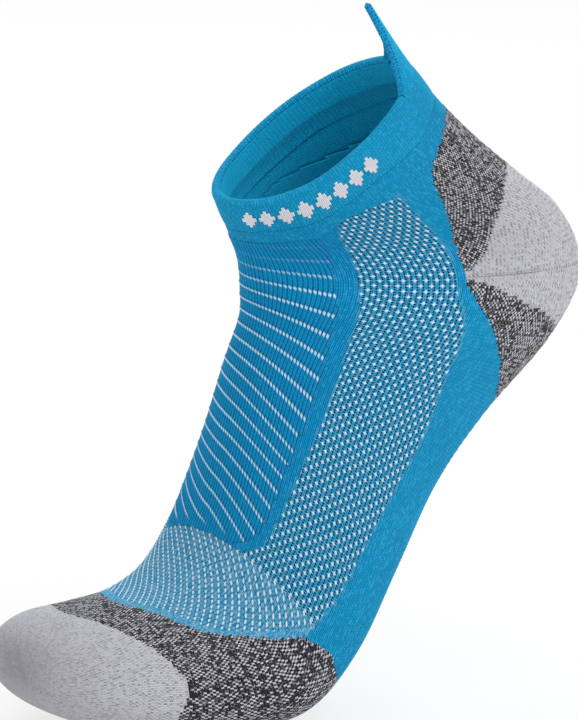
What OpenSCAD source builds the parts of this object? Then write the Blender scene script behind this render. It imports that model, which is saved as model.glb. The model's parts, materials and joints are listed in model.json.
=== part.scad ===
// Low-cut running sock, worn shape: forefoot on the ground and heel raised.
// X runs from the toes (-X) to the heel (+X), Z is up, millimetres. The origin is the
// middle of the ankle opening, where the foot that holds the sock goes in.

/* [Foot form] */
// Length of the form, from the toe tip to the back of the heel
form_length = 209; // [180:1:240]
// Height of the form, from the ground to the tip of the heel tab
form_height = 220; // [190:1:250]
// Width across the ball of the foot
ball_width = 90; // [76:1:104]
// Width across the ankle and the heel
ankle_width = 62; // [54:1:74]

/* [Knit layers] */
// Thickness of the outer knit
knit_t = 1.2; // [0.8:0.1:2.0]
// Thickness of the terry linings at the toe, the ball and the heel
terry_t = 1.4; // [0.8:0.1:2.5]
// Gap between one layer and the next
layer_gap = 0.3; // [0.2:0.05:0.6]
// Gap where two knit zones meet side by side
zone_gap = 0.3; // [0.1:0.05:0.5]

/* [Cuff] */
// Thickness of each layer of the turned cuff
cuff_t = 0.9; // [0.6:0.1:1.5]
// Diameter of one elastic thread between the cuff layers
elastic_d = 0.7; // [0.5:0.1:1.2]
// Number of elastic threads
elastic_rows = 5; // [3:1:7]
// Diameter of the rolled fold along the rim
fold_d = 2.6; // [2.0:0.1:4.0]
// Thickness of the knitted-in diamonds, which stand proud of the cuff
motif_t = 0.3; // [0.2:0.1:0.8]
// Number of diamonds along the cuff
motif_count = 8; // [4:1:10]
// Angle between one diamond and the next, round the cuff
motif_step = 11; // [10:1:14]

/* [Heel tab] */
// Height of the tab above the cuff, in form stations of about 10 mm
tab_rise = 1.9; // [1.2:0.1:2.0]
// Thickness of each layer of the tab
tab_t = 0.8; // [0.5:0.1:1.2]
// Diameter of the overlocked edge
edge_d = 1.8; // [1.2:0.1:2.4]

/* [Seams] */
// Diameter of the linked toe seam
seam_d = 1.2; // [0.8:0.1:2.0]
// Height of the heel gore seam above the knit
gore_t = 0.5; // [0.3:0.1:1.0]
// Length of the heel gore seam, as an angle round the heel
gore_sweep = 34; // [20:1:50]

/* [Hidden] */
// Form sections at the base size, from the toe tip to the top of the tab. Each row holds
// the front point's x and z, the back point's x and z, the half width, how much of the
// width sits low, the sideways shift towards -Y, and the roundness, 2 for an ellipse.
BASE = [
  [-75, 24, -75, 21, 3, 0, -6, 2],
  [-71, 33, -72, 13, 20, 0.1, -6, 2.1],
  [-60, 37, -62, 6, 33, 0.15, -5, 2.3],
  [-44, 38, -46, 2, 40, 0.2, -3, 2.4],
  [-28, 41, -22, 0, 44, 0.25, -1, 2.4],
  [-17, 50, 4, 1, 45, 0.3, 0, 2.3],
  [-9, 66, 25, 16, 43, 0.3, 1, 2.3],
  [-2, 88, 46, 40, 39, 0.28, 1, 2.2],
  [5, 110, 68, 64, 35, 0.2, 0, 2.1],
  [9, 123, 93, 85, 32, 0.1, 0, 2],
  [9, 131, 121, 107, 32, 0, 0, 2],
  [8, 137, 134, 128, 31, 0, 0, 2],
  [7, 142, 125, 148, 31, 0, 0, 2],
  [5, 147, 107, 162, 31, 0, 0, 2],
  [3, 152, 91, 174, 31, 0, 0, 2],
  [1, 157, 76, 187, 31, 0, 0, 2],
  [-2, 163, 64, 200, 31, 0, 0, 2],
  [-2, 173, 55, 211, 30, 0, 0, 2],
  [-1, 182, 46, 223, 29, 0, 0, 2]
];
BASE_LENGTH = 209;
BASE_HEIGHT = 220;
BASE_BALL = 90;
BASE_ANKLE = 62;
// The sections up to LAST_BALL follow the ball's width, and from FIRST_ANKLE the ankle's
LAST_BALL = 6;
FIRST_ANKLE = 10;
sx = form_length / BASE_LENGTH;
sz = form_height / BASE_HEIGHT;
s_ball = ball_width / BASE_BALL;
s_ankle = ankle_width / BASE_ANKLE;

// Zone borders. A round border is a list of [angle, station], from the instep (0 degrees)
// over the side (90) to the sole and the heel (180). A lengthwise border is a list of
// [station, angle] on one side, and the other side mirrors it.
TOE_EDGE = [[0, 2.1], [35, 2.6], [60, 2.95], [88, 3.25], [105, 3.1], [140, 3.0], [180, 3.0]];
BALL_EDGE = [[0, 3.2], [42, 3.7], [55, 4.0], [65, 4.5], [87, 5.35], [100, 5.55], [180, 5.4]];
BAND_EDGE = [[0, 13.1], [49, 13.1], [66, 13.8], [103, 14.1], [142, 14.6], [163, 14.9], [180, 14.9]];
CUFF_EDGE = [[0, 13.8], [49, 13.9], [69, 14.3], [95, 14.8], [142, 15.1], [163, 15.3], [180, 15.3]];
RIM_EDGE = [[0, 15.4], [32, 15.3], [60, 15.4], [92, 15.7], [122, 15.9], [148, 16], [180, 16]];
RIB_EDGE = [[5.6, 21], [5.95, 40], [7.3, 50], [8.2, 52], [9.4, 48], [11.2, 46], [13.1, 49]];
MESH_IN = [[5.6, 32], [5.95, 46], [7.3, 57], [8.2, 60], [9.4, 57], [11.2, 55], [13.3, 59]];
MESH_OUT = [[5.6, 90], [7.1, 103], [8.2, 113], [9.3, 108], [10.2, 101], [11.1, 96], [14.1, 103]];
// The heel's outline, from the middle of the sole round the gore's tip to the ankle band
HEEL_EDGE = [[9.0, 180], [9.25, 148], [9.8, 123], [10.6, 103], [11.1, 99], [12.1, 102],
  [13.1, 114], [14.2, 127], [14.6, 142]];
// The places in that list of the sole's corner, the gore's tip and the band's corner
AT_SOLE = 1;
AT_GORE = 4;
AT_BAND = 8;
POCKET_LOW = [[102, 11.05], [109, 10.9], [124, 10.55], [155, 10.2], [180, 10.1]];
POCKET_TOP = [[102, 11.2], [110, 11.65], [129, 12.45], [160, 13.15], [180, 13.3]];
// Where the sole's side border starts at the ball
SOLE_FROM = 136;
// The back of the sock is turned towards -Y by this angle at the cuff, and less lower down
SWING = 28;
SWING_START = 5;
SWING_END = 14;
// The tab stands on the rim between these two angles
TAB_FROM = 148;
TAB_TO = 212;
TAB_TIP = 180;
// The rolled fold stops short of the tab, and the tab's edge starts inside it, in degrees
FOLD_STOP = 3;
EDGE_STOP = 1.5;
// The corner where the toe mesh, the side mesh and the ball pad meet
MESH_CORNER = 87;
// The station of the toe's linked seam, and where the toe's lining starts behind it
SEAM_STATION = 1.1;
LINING_START = 1.7;
GORE_STATION = 11.12;
GORE_WIDTH = 0.12;
MOTIF_FIRST = 14;
// The diamonds' half width as a share of their step, and their middle's height and half
// height as shares of the cuff's height
MOTIF_WIDTH = 0.36;
MOTIF_PLACE = 0.52;
MOTIF_HEIGHT = 0.28;
// Where the side mesh's inner border meets the ankle band, and its outer border's angle there
MESH_TOP_IN = [13.8, 66];
MESH_TOP_OUT = 103;
// The ball's lining starts at this angle on each side and runs under the sole
LINING_FROM = 100;
// How far from the gore's tip the two heel zones start, as places in the heel's outline
UNDER_START = 0.1;
PAD_START = 0.2;
// The share of the Achilles pad's top border that runs beside the ankle band's corner
PAD_SHARE = 0.6;
// The tab's height at its two ends, its curve's power and its start above the rim
TAB_FOOT = 0.12;
TAB_CURVE = 1.2;
TAB_START = 0.03;
// Length of one form station at the rim, and along the tab, in millimetres
RIM_STATION = 8;
TAB_STATION = 9;
// Gap under what stands proud of the knit
PROUD_GAP = 0.1;
// Facets round a full ring of knit, and round the ankle band, which meets six zones
ROUND = 40;
BAND_ROUND = 72;

// A point at place u on a smooth curve through the rows of a list
function smooth(list, u) =
  let (last = len(list) - 1, i = max(0, min(last - 1, floor(u))), f = u - i)
  let (a = list[max(0, i - 1)], b = list[i], c = list[i + 1], d = list[min(last, i + 2)])
  0.5 * (2 * b + (c - a) * f + (2 * a - 5 * b + 4 * c - d) * f * f
    + (3 * b - a - 3 * c + d) * f * f * f);

function width_scale(i) =
  let (f = max(0, min(1, (i - LAST_BALL) / (FIRST_ANKLE - LAST_BALL))))
  s_ball * (1 - f) + s_ankle * f;

FORM = [for (i = [0 : len(BASE) - 1]) let (r = BASE[i])
  [r[0] * sx, r[1] * sz, r[2] * sx, r[3] * sz, r[4] * width_scale(i), r[5], r[6], r[7]]];

function power(x, p) = sign(x) * pow(abs(x), p);

// The middle of the ankle opening, measured from the ground under the ball of the foot
OPENING_STATION = 15.7;
OPENING = let (s = smooth(FORM, OPENING_STATION)) [(s[0] + s[2]) / 2, 0, (s[1] + s[3]) / 2];

// The form's surface at a station and an angle
function skin(t, v) =
  let (s = smooth(FORM, t), p = 2 / s[7], up = power(cos(v), p))
  let (side = power(sin(v), p) * (1 - s[5] * cos(v)))
  [(s[0] + s[2]) / 2 + (s[0] - s[2]) / 2 * up, -s[6] - s[4] * side,
   (s[1] + s[3]) / 2 + (s[1] - s[3]) / 2 * up] - OPENING;

function outward(t, v) =
  let (a = skin(t + 0.05, v) - skin(t - 0.05, v), b = skin(t, v + 2) - skin(t, v - 2))
  let (n = cross(b, a)) n / norm(n);

// A knit angle as an angle on the form, which the swing turns at the back of the sock
function turned(t, v) =
  let (share = max(0, min(1, (t - SWING_START) / (SWING_END - SWING_START))))
  v - SWING * share * (1 - cos(v)) / 2;

// The point that lies deep below the form's surface, at a station and a knit angle
function below(tv, deep) =
  let (v = turned(tv[0], tv[1])) skin(tv[0], v) - deep * outward(tv[0], v);

// The station of a round border at any angle, the same on both sides
function fold_angle(v) = let (w = (v + 720) % 360) w > 180 ? 360 - w : w;
function ring_at(edge, v) = lookup(fold_angle(v), edge);

// A place on a lengthwise border, a share of the way along it, as [station, angle]
function along(edge, share) = smooth(edge, share * (len(edge) - 1));

function mix(a, b, f) = a * (1 - f) + b * f;

// A closed wall between two grids of points, with its ends shut. Rows run along the foot
// and columns run round it. A wrapped wall has no side ends, and a capped one is closed
// at its first row.
module wall(outer, inner, wrap = false, cap = false, flip = false) {
  rows = len(outer);
  cols = len(outer[0]);
  count = rows * cols;
  points = [for (r = outer) each r, for (r = inner) each r];
  tips = cap ? [centre(outer[0]), centre(inner[0])] : [];
  spans = wrap ? cols - 1 : cols - 2;
  function at(i, j) = i * cols + j % cols;
  skin_faces = [for (i = [0 : rows - 2]) for (j = [0 : spans])
    each [[at(i, j), at(i + 1, j), at(i + 1, j + 1)], [at(i, j), at(i + 1, j + 1), at(i, j + 1)]]];
  lining_faces = [for (f = skin_faces) [f[2] + count, f[1] + count, f[0] + count]];
  last_row = [for (j = [0 : spans]) let (a = at(rows - 1, j), b = at(rows - 1, j + 1))
    each [[a, a + count, b + count], [a, b + count, b]]];
  first_row = cap
    ? [for (j = [0 : spans]) let (a = at(0, j), b = at(0, j + 1))
        each [[2 * count, a, b], [2 * count + 1, b + count, a + count]]]
    : [for (j = [0 : spans]) let (a = at(0, j), b = at(0, j + 1))
        each [[a, b + count, a + count], [a, b, b + count]]];
  side_faces = wrap ? [] : [for (i = [0 : rows - 2])
    let (a = at(i, 0), b = at(i + 1, 0), c = at(i, cols - 1), d = at(i + 1, cols - 1))
    each [[a, a + count, b + count], [a, b + count, b],
      [c, d + count, c + count], [c, d, d + count]]];
  faces = concat(skin_faces, lining_faces, last_row, first_row, side_faces);
  turned = flip ? [for (f = faces) [f[2], f[1], f[0]]] : faces;
  polyhedron(points = concat(points, tips), faces = turned, convexity = 8);
}

function centre(list) = [for (k = [0 : 2]) sum([for (p = list) p[k]]) / len(list)];
function sum(list, i = 0) = i < len(list) ? list[i] + sum(list, i + 1) : 0;

// A patch of knit between four borders. low and high give [station, angle] across the
// patch, left and right give it along the patch, and all four meet at the corners.
function patch_grid(low, high, left, right, na, nb, deep, inset_a, inset_b) =
  [for (i = [0 : na]) let (a = inset_a + (1 - 2 * inset_a) * i / na)
    [for (j = [0 : nb]) let (b = inset_b + (1 - 2 * inset_b) * j / nb)
      below(mix(low(b), high(b), a) + mix(left(a), right(a), b)
        - mix(mix(low(0), low(1), b), mix(high(0), high(1), b), a), deep)]];

module patch(low, high, left, right, na, nb, from, to, flip = false) {
  long = norm(below(low(0.5), 0) - below(high(0.5), 0));
  wide = norm(below(left(0.5), 0) - below(right(0.5), 0));
  inset_a = zone_gap / 2 / long;
  inset_b = zone_gap / 2 / wide;
  wall(patch_grid(low, high, left, right, na, nb, from, inset_a, inset_b),
    patch_grid(low, high, left, right, na, nb, to, inset_a, inset_b), flip = flip);
}

// A ring of knit between two round borders
function ring_grid(low, high, na, deep, inset, sides) =
  [for (i = [0 : na]) let (a = inset + (1 - 2 * inset) * i / na)
    [for (j = [0 : sides - 1]) let (v = 360 * j / sides)
      below([mix(low(v), high(v), a), v], deep)]];

module ring(low, high, na, from, to, cap = false, sides = ROUND) {
  long = norm(skin(low(90), 90) - skin(high(90), 90));
  inset = zone_gap / 2 / long;
  wall(ring_grid(low, high, na, from, inset, sides), ring_grid(low, high, na, to, inset, sides),
    wrap = true, cap = cap);
}

// A thread of round section through a list of points, closed to a loop or with flat ends
module thread(path, d, loop = false, sides = 6) {
  n = len(path);
  rings = [for (i = [0 : n - 1])
    let (a = path[loop ? (i + n - 1) % n : max(0, i - 1)])
    let (b = path[loop ? (i + 1) % n : min(n - 1, i + 1)])
    let (t = (b - a) / norm(b - a), s0 = cross(t, [0.3, 0.2, 0.9]), s = s0 / norm(s0))
    let (u = cross(s, t))
    [for (k = [0 : sides - 1]) path[i] + d / 2 * (s * cos(360 * k / sides) + u * sin(360 * k / sides))]];
  spans = loop ? n - 1 : n - 2;
  function at(i, k) = (i % n) * sides + k % sides;
  body_faces = [for (i = [0 : spans]) for (k = [0 : sides - 1])
    each [[at(i, k), at(i + 1, k), at(i + 1, k + 1)], [at(i, k), at(i + 1, k + 1), at(i, k + 1)]]];
  ends = loop ? [] : [[for (k = [0 : sides - 1]) at(0, k)],
    [for (k = [sides - 1 : -1 : 0]) at(n - 1, k)]];
  polyhedron(points = [for (r = rings) each r], faces = concat(body_faces, ends), convexity = 8);
}

function side(tv, far) = far ? [tv[0], -tv[1]] : tv;

// Toe
module toe_pocket() {
  color("silver") ring(function(v) 0, function(v) ring_at(TOE_EDGE, v), 8, 0, knit_t, cap = true);
}

module toe_terry() {
  deep = knit_t + layer_gap;
  color("gainsboro") ring(function(v) LINING_START, function(v) ring_at(TOE_EDGE, v),
    4, deep, deep + terry_t);
}

module toe_seam() {
  color("gray") thread([for (v = [-90 : 9 : 90])
    below([SEAM_STATION, v], knit_t + layer_gap / 2 + seam_d / 2)], seam_d);
}

// Ball of the foot
module ball_pad() {
  color("dimgray") ring(function(v) ring_at(TOE_EDGE, v), function(v) ring_at(BALL_EDGE, v),
    9, 0, knit_t);
}

module ball_terry() {
  deep = knit_t + layer_gap;
  function angle(b) = mix(LINING_FROM, 360 - LINING_FROM, b);
  function side_station(a) = mix(ring_at(TOE_EDGE, LINING_FROM), ring_at(BALL_EDGE, LINING_FROM), a);
  color("lightgray") patch(
    function(b) let (v = angle(b)) [ring_at(TOE_EDGE, v), v],
    function(b) let (v = angle(b)) [ring_at(BALL_EDGE, v), v],
    function(a) [side_station(a), LINING_FROM],
    function(a) [side_station(a), 360 - LINING_FROM],
    9, 18, deep, deep + terry_t);
}

// Top of the foot
module toe_mesh() {
  corner = ring_at(BALL_EDGE, MESH_CORNER);
  color("deepskyblue") patch(
    function(b) let (v = mix(-MESH_CORNER, MESH_CORNER, b)) [ring_at(BALL_EDGE, v), v],
    function(b) [MESH_OUT[0][0], mix(-MESH_OUT[0][1], MESH_OUT[0][1], b)],
    function(a) mix([corner, -MESH_CORNER], [MESH_OUT[0][0], -MESH_OUT[0][1]], a),
    function(a) mix([corner, MESH_CORNER], MESH_OUT[0], a),
    6, 20, 0, knit_t);
}

module instep_rib() {
  color("steelblue") patch(
    function(b) [RIB_EDGE[0][0], mix(-RIB_EDGE[0][1], RIB_EDGE[0][1], b)],
    function(b) let (top = RIB_EDGE[len(RIB_EDGE) - 1]) [top[0], mix(-top[1], top[1], b)],
    function(a) side(along(RIB_EDGE, a), true),
    function(a) along(RIB_EDGE, a),
    14, 10, 0, knit_t);
}

module rib_border(far) {
  color("royalblue") patch(
    function(b) side(mix(RIB_EDGE[0], MESH_IN[0], b), far),
    function(b) side(mix(RIB_EDGE[len(RIB_EDGE) - 1], MESH_IN[len(MESH_IN) - 1], b), far),
    function(a) side(along(RIB_EDGE, a), far),
    function(a) side(along(MESH_IN, a), far),
    14, 2, 0, knit_t, flip = far);
}

// Sides
// The mesh runs on from the rib's border up to the ankle band
MESH_INNER = concat(MESH_IN, [MESH_TOP_IN]);

module mesh_side(far) {
  color("skyblue") patch(
    function(b) side(mix(MESH_IN[0], MESH_OUT[0], b), far),
    function(b) let (v = mix(MESH_TOP_IN[1], MESH_TOP_OUT, b)) side([ring_at(BAND_EDGE, v), v], far),
    function(a) side(along(MESH_INNER, a), far),
    function(a) side(along(MESH_OUT, a), far),
    22, 8, 0, knit_t, flip = far);
}

// The plain knit's inner border starts at the ball and follows the mesh
PLAIN_IN = concat([[ring_at(BALL_EDGE, MESH_CORNER), MESH_CORNER]], MESH_OUT);

// Its outer border follows the sole, then the heel's outline
SOLE_SHARE = 0.4;
function plain_outer(a) = a < SOLE_SHARE
  ? sole_side(a / SOLE_SHARE)
  : smooth(HEEL_EDGE, mix(AT_SOLE, AT_BAND, (a - SOLE_SHARE) / (1 - SOLE_SHARE)));
function sole_side(a) = mix([ring_at(BALL_EDGE, SOLE_FROM), SOLE_FROM], HEEL_EDGE[AT_SOLE], a);

module side_plain(far) {
  color("dodgerblue") patch(
    function(b) let (v = mix(MESH_CORNER, SOLE_FROM, b)) side([ring_at(BALL_EDGE, v), v], far),
    function(b) let (v = mix(MESH_TOP_OUT, HEEL_EDGE[AT_BAND][1], b)) side([ring_at(BAND_EDGE, v), v], far),
    function(a) side(along(PLAIN_IN, a), far),
    function(a) side(plain_outer(a), far),
    30, 5, 0, knit_t, flip = far);
}

module arch_sole() {
  color("dodgerblue") patch(
    function(b) let (v = mix(SOLE_FROM, 360 - SOLE_FROM, b)) [ring_at(BALL_EDGE, v), v],
    function(b) round_back(b, function(f) smooth(HEEL_EDGE, mix(AT_SOLE, 0, f))),
    function(a) sole_side(a),
    function(a) let (p = sole_side(a)) [p[0], 360 - p[1]],
    12, 8, 0, knit_t);
}

// Heel. Each zone runs from the near side round the back to the far side, and half gives
// its near half as [station, angle].
function round_back(b, half) =
  let (p = half(b < 0.5 ? 2 * b : 2 - 2 * b)) b < 0.5 ? p : [p[0], 360 - p[1]];

function pocket_half(edge, f) = let (c = along(edge, f)) [c[1], c[0]];
function under_half(f) = smooth(HEEL_EDGE, mix(AT_GORE - UNDER_START, 0, f));
function pad_half(f) = f < PAD_SHARE
  ? smooth(HEEL_EDGE, mix(AT_GORE + PAD_START, AT_BAND, f / PAD_SHARE))
  : let (v = mix(HEEL_EDGE[AT_BAND][1], 180, (f - PAD_SHARE) / (1 - PAD_SHARE)))
    [ring_at(BAND_EDGE, v), v];

module heel_zone(low, high, na, nb, from, to) {
  patch(
    function(b) round_back(b, low),
    function(b) round_back(b, high),
    function(a) mix(round_back(0, low), round_back(0, high), a),
    function(a) mix(round_back(1, low), round_back(1, high), a),
    na, nb, from, to);
}

pocket_low = function(f) pocket_half(POCKET_LOW, f);
pocket_top = function(f) pocket_half(POCKET_TOP, f);

module heel_under() {
  color("dimgray") heel_zone(function(f) under_half(f), pocket_low, 5, 20, 0, knit_t);
}

module heel_pocket() {
  color("silver") heel_zone(pocket_low, pocket_top, 8, 20, 0, knit_t);
}

module achilles_pad() {
  color("dimgray") heel_zone(pocket_top, function(f) pad_half(f), 6, 24, 0, knit_t);
}

module heel_terry() {
  deep = knit_t + layer_gap;
  color("gainsboro") heel_zone(pocket_low, pocket_top, 8, 20, deep, deep + terry_t);
}

module achilles_terry() {
  deep = knit_t + layer_gap;
  color("lightgray") heel_zone(pocket_top, function(f) pad_half(f), 6, 20, deep, deep + terry_t);
}

module heel_gore() {
  first = POCKET_LOW[0][0];
  color("gray") for (far = [false, true]) patch(
    function(b) side([GORE_STATION - GORE_WIDTH / 2, first + gore_sweep * b], far),
    function(b) side([GORE_STATION + GORE_WIDTH / 2, first + gore_sweep * b], far),
    function(a) side([GORE_STATION + GORE_WIDTH * (a - 0.5), first], far),
    function(a) side([GORE_STATION + GORE_WIDTH * (a - 0.5), first + gore_sweep], far),
    1, 8, -gore_t - PROUD_GAP, -PROUD_GAP, flip = far);
}

// Ankle and cuff
module ankle_band() {
  color("dodgerblue") ring(function(v) ring_at(BAND_EDGE, v), function(v) ring_at(CUFF_EDGE, v),
    2, 0, knit_t, sides = BAND_ROUND);
}

module cuff_outer() {
  color("steelblue") ring(function(v) ring_at(CUFF_EDGE, v), function(v) ring_at(RIM_EDGE, v),
    3, 0, cuff_t);
}

// The inner layer lies behind the elastic threads
cuff_inner_deep = cuff_t + elastic_d + layer_gap;

module cuff_inner() {
  color("darkcyan") ring(function(v) ring_at(CUFF_EDGE, v), function(v) ring_at(RIM_EDGE, v),
    3, cuff_inner_deep, cuff_inner_deep + cuff_t);
}

module cuff_elastic() {
  deep = cuff_t + layer_gap / 2 + elastic_d / 2;
  color("white") for (k = [1 : elastic_rows]) {
    share = (k - 0.5) / elastic_rows;
    thread([for (j = [0 : 35]) let (v = 10 * j)
      below([mix(ring_at(CUFF_EDGE, v), ring_at(RIM_EDGE, v), share), v], deep)],
      elastic_d, loop = true, sides = 4);
  }
}

// The fold closes the two layers along the rim, except where the tab stands
module cuff_fold() {
  deep = (cuff_inner_deep + cuff_t) / 2;
  first = TAB_TO - 360 + FOLD_STOP;
  steps = 32;
  color("steelblue") thread([for (j = [0 : steps]) let (v = mix(first, TAB_FROM - FOLD_STOP, j / steps))
    below([ring_at(RIM_EDGE, v) + fold_lift, v], deep)], fold_d);
}
// How far above the rim the fold's middle lies, in stations
fold_lift = (fold_d / 2 + layer_gap) / RIM_STATION;

module cuff_motif() {
  half_wide = motif_step * MOTIF_WIDTH;
  color("white") for (k = [0 : motif_count - 1]) {
    v = MOTIF_FIRST + k * motif_step;
    mid = mix(ring_at(CUFF_EDGE, v), ring_at(RIM_EDGE, v), MOTIF_PLACE);
    half_tall = (ring_at(RIM_EDGE, v) - ring_at(CUFF_EDGE, v)) * MOTIF_HEIGHT;
    patch(
      function(b) mix([mid - half_tall, v], [mid, v + half_wide], b),
      function(b) mix([mid, v - half_wide], [mid + half_tall, v], b),
      function(a) mix([mid - half_tall, v], [mid, v - half_wide], a),
      function(a) mix([mid, v + half_wide], [mid + half_tall, v], a),
      2, 2, -motif_t - PROUD_GAP, -PROUD_GAP);
  }
}

// Heel tab
// How far the tab rises above the rim at an angle, in stations
function tab_top(v) =
  let (f = v < TAB_TIP ? (TAB_TIP - v) / (TAB_TIP - TAB_FROM) : (v - TAB_TIP) / (TAB_TO - TAB_TIP))
  TAB_FOOT + (tab_rise - TAB_FOOT) * pow(max(0, 1 - f), TAB_CURVE);

module tab_layer(from, to) {
  turn = TAB_TO - TAB_FROM;
  function angle(b) = TAB_FROM + turn * b;
  function low(b) = [ring_at(RIM_EDGE, angle(b)) + TAB_START, angle(b)];
  function high(b) = [ring_at(RIM_EDGE, angle(b)) + tab_top(angle(b)), angle(b)];
  patch(function(b) low(b), function(b) high(b),
    function(a) mix(low(0), high(0), a), function(a) mix(low(1), high(1), a),
    5, 18, from, to);
}

module tab_outer() {
  color("deepskyblue") tab_layer(0, tab_t);
}

tab_inner_deep = tab_t + layer_gap;

module tab_inner() {
  color("darkcyan") tab_layer(tab_inner_deep, tab_inner_deep + tab_t);
}

module tab_edge() {
  deep = (tab_inner_deep + tab_t) / 2;
  lift = (edge_d / 2 + layer_gap) / TAB_STATION;
  steps = 24;
  color("steelblue") thread([for (j = [0 : steps])
    let (v = mix(TAB_FROM + EDGE_STOP, TAB_TO - EDGE_STOP, j / steps))
    below([ring_at(RIM_EDGE, v) + tab_top(v) + lift, v], deep)], edge_d);
}

toe_pocket();
ball_pad();
toe_mesh();
instep_rib();
rib_border(false);  // rib_border_near
rib_border(true);  // rib_border_far
mesh_side(false);  // mesh_near
mesh_side(true);  // mesh_far
side_plain(false);  // side_plain_near
side_plain(true);  // side_plain_far
arch_sole();
heel_under();
heel_pocket();
achilles_pad();
ankle_band();
cuff_outer();
cuff_inner();
cuff_elastic();
cuff_fold();
cuff_motif();
tab_outer();
tab_inner();
tab_edge();
toe_seam();
heel_gore();
toe_terry();
ball_terry();
heel_terry();
achilles_terry();
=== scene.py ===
"""Running ankle sock: the knitted pieces, their yarns and a plain studio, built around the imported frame.

Every piece is laid out on one knitting chart. A chart column is a wale, which runs from the
toe to the cuff, and a chart row is a course, which runs round the foot. Each stitch of the
chart belongs to one zone, so the borders between the zones step from stitch to stitch.
"""
import json
import math
from functools import lru_cache

import bpy
import numpy as np
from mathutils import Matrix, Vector


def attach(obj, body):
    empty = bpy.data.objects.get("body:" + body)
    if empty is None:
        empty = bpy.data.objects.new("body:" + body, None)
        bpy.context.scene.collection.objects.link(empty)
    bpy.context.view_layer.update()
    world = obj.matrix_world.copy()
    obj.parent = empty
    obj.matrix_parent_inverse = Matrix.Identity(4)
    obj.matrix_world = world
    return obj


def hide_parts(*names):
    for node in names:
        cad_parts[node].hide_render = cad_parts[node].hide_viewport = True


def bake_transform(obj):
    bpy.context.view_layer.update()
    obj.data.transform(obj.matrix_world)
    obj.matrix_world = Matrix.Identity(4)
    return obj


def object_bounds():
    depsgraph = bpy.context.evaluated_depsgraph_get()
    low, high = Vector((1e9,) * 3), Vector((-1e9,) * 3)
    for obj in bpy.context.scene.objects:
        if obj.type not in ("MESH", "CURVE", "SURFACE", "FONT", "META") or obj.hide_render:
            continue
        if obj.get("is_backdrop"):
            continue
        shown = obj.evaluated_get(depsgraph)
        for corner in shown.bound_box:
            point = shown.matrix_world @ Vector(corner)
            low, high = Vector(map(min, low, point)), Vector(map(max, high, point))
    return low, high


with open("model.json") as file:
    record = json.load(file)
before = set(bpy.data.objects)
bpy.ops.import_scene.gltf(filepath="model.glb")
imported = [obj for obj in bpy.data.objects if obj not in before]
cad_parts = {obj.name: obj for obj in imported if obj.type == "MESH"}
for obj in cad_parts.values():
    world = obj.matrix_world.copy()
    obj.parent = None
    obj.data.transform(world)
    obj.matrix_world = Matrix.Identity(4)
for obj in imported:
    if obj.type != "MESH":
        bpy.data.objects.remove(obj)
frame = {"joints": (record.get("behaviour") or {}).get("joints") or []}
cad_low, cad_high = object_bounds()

bl_info = {
    "name": "Running Ankle Sock",
    "version": (1, 0, 0),
    "blender": (4, 5, 0),
    "location": "View3D > Sidebar > Sock",
    "description": "Knits a low-cut running sock, zone by zone, around a packed CAD frame",
    "category": "Add Mesh",
}

MM = 0.001

# Form sections from the toe tip to the top of the tab, in millimetres above the ground: the
# front point's x and z, the back point's x and z, the half width, how much of the width
# sits low, the sideways shift towards -Y, and the roundness, 2 for an ellipse.
SECTIONS = np.array([
    [-75, 24, -75, 21, 3, 0, -6, 2],
    [-71, 33, -72, 13, 20, 0.1, -6, 2.1],
    [-60, 37, -62, 6, 33, 0.15, -5, 2.3],
    [-44, 38, -46, 2, 40, 0.2, -3, 2.4],
    [-28, 41, -22, 0, 44, 0.25, -1, 2.4],
    [-17, 50, 4, 1, 45, 0.3, 0, 2.3],
    [-9, 66, 25, 16, 43, 0.3, 1, 2.3],
    [-2, 88, 46, 40, 39, 0.28, 1, 2.2],
    [5, 110, 68, 64, 35, 0.2, 0, 2.1],
    [9, 123, 93, 85, 32, 0.1, 0, 2],
    [9, 131, 121, 107, 32, 0, 0, 2],
    [8, 137, 134, 128, 31, 0, 0, 2],
    [7, 142, 125, 148, 31, 0, 0, 2],
    [5, 147, 107, 162, 31, 0, 0, 2],
    [3, 152, 91, 174, 31, 0, 0, 2],
    [1, 157, 76, 187, 31, 0, 0, 2],
    [-2, 163, 64, 200, 31, 0, 0, 2],
    [-2, 173, 55, 211, 30, 0, 0, 2],
    [-1, 182, 46, 223, 29, 0, 0, 2],
], float)
# The station of the ankle opening, whose middle is the frame's origin
OPENING_STATION = 15.7
# The frame's size, in metres, at which the section table holds
DESIGN_BOX = np.array([0.2088, 0.0942, 0.2215])
# The back of the sock is turned towards -Y by this angle at the cuff, and less lower down
SWING = 28
SWING_START = 5
SWING_END = 14

# Round borders as [angle, station], from the instep (0 degrees) to the sole and heel (180)
TOE_EDGE = [[0, 2.1], [35, 2.6], [60, 2.95], [88, 3.25], [105, 3.1], [140, 3.0], [180, 3.0]]
BALL_EDGE = [[0, 3.2], [42, 3.7], [55, 4.0], [65, 4.5], [87, 5.35], [100, 5.55], [180, 5.4]]
BAND_EDGE = [[0, 13.1], [49, 13.1], [66, 13.8], [103, 14.1], [142, 14.6], [163, 14.9], [180, 14.9]]
CUFF_EDGE = [[0, 13.8], [49, 13.9], [69, 14.3], [95, 14.8], [142, 15.1], [163, 15.3], [180, 15.3]]
RIM_EDGE = [[0, 15.4], [32, 15.3], [60, 15.4], [92, 15.7], [122, 15.9], [148, 16], [180, 16]]
POCKET_LOW = [[102, 11.05], [109, 10.9], [124, 10.55], [155, 10.2], [180, 10.1]]
POCKET_TOP = [[102, 11.2], [110, 11.65], [129, 12.45], [160, 13.15], [180, 13.3]]
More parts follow.
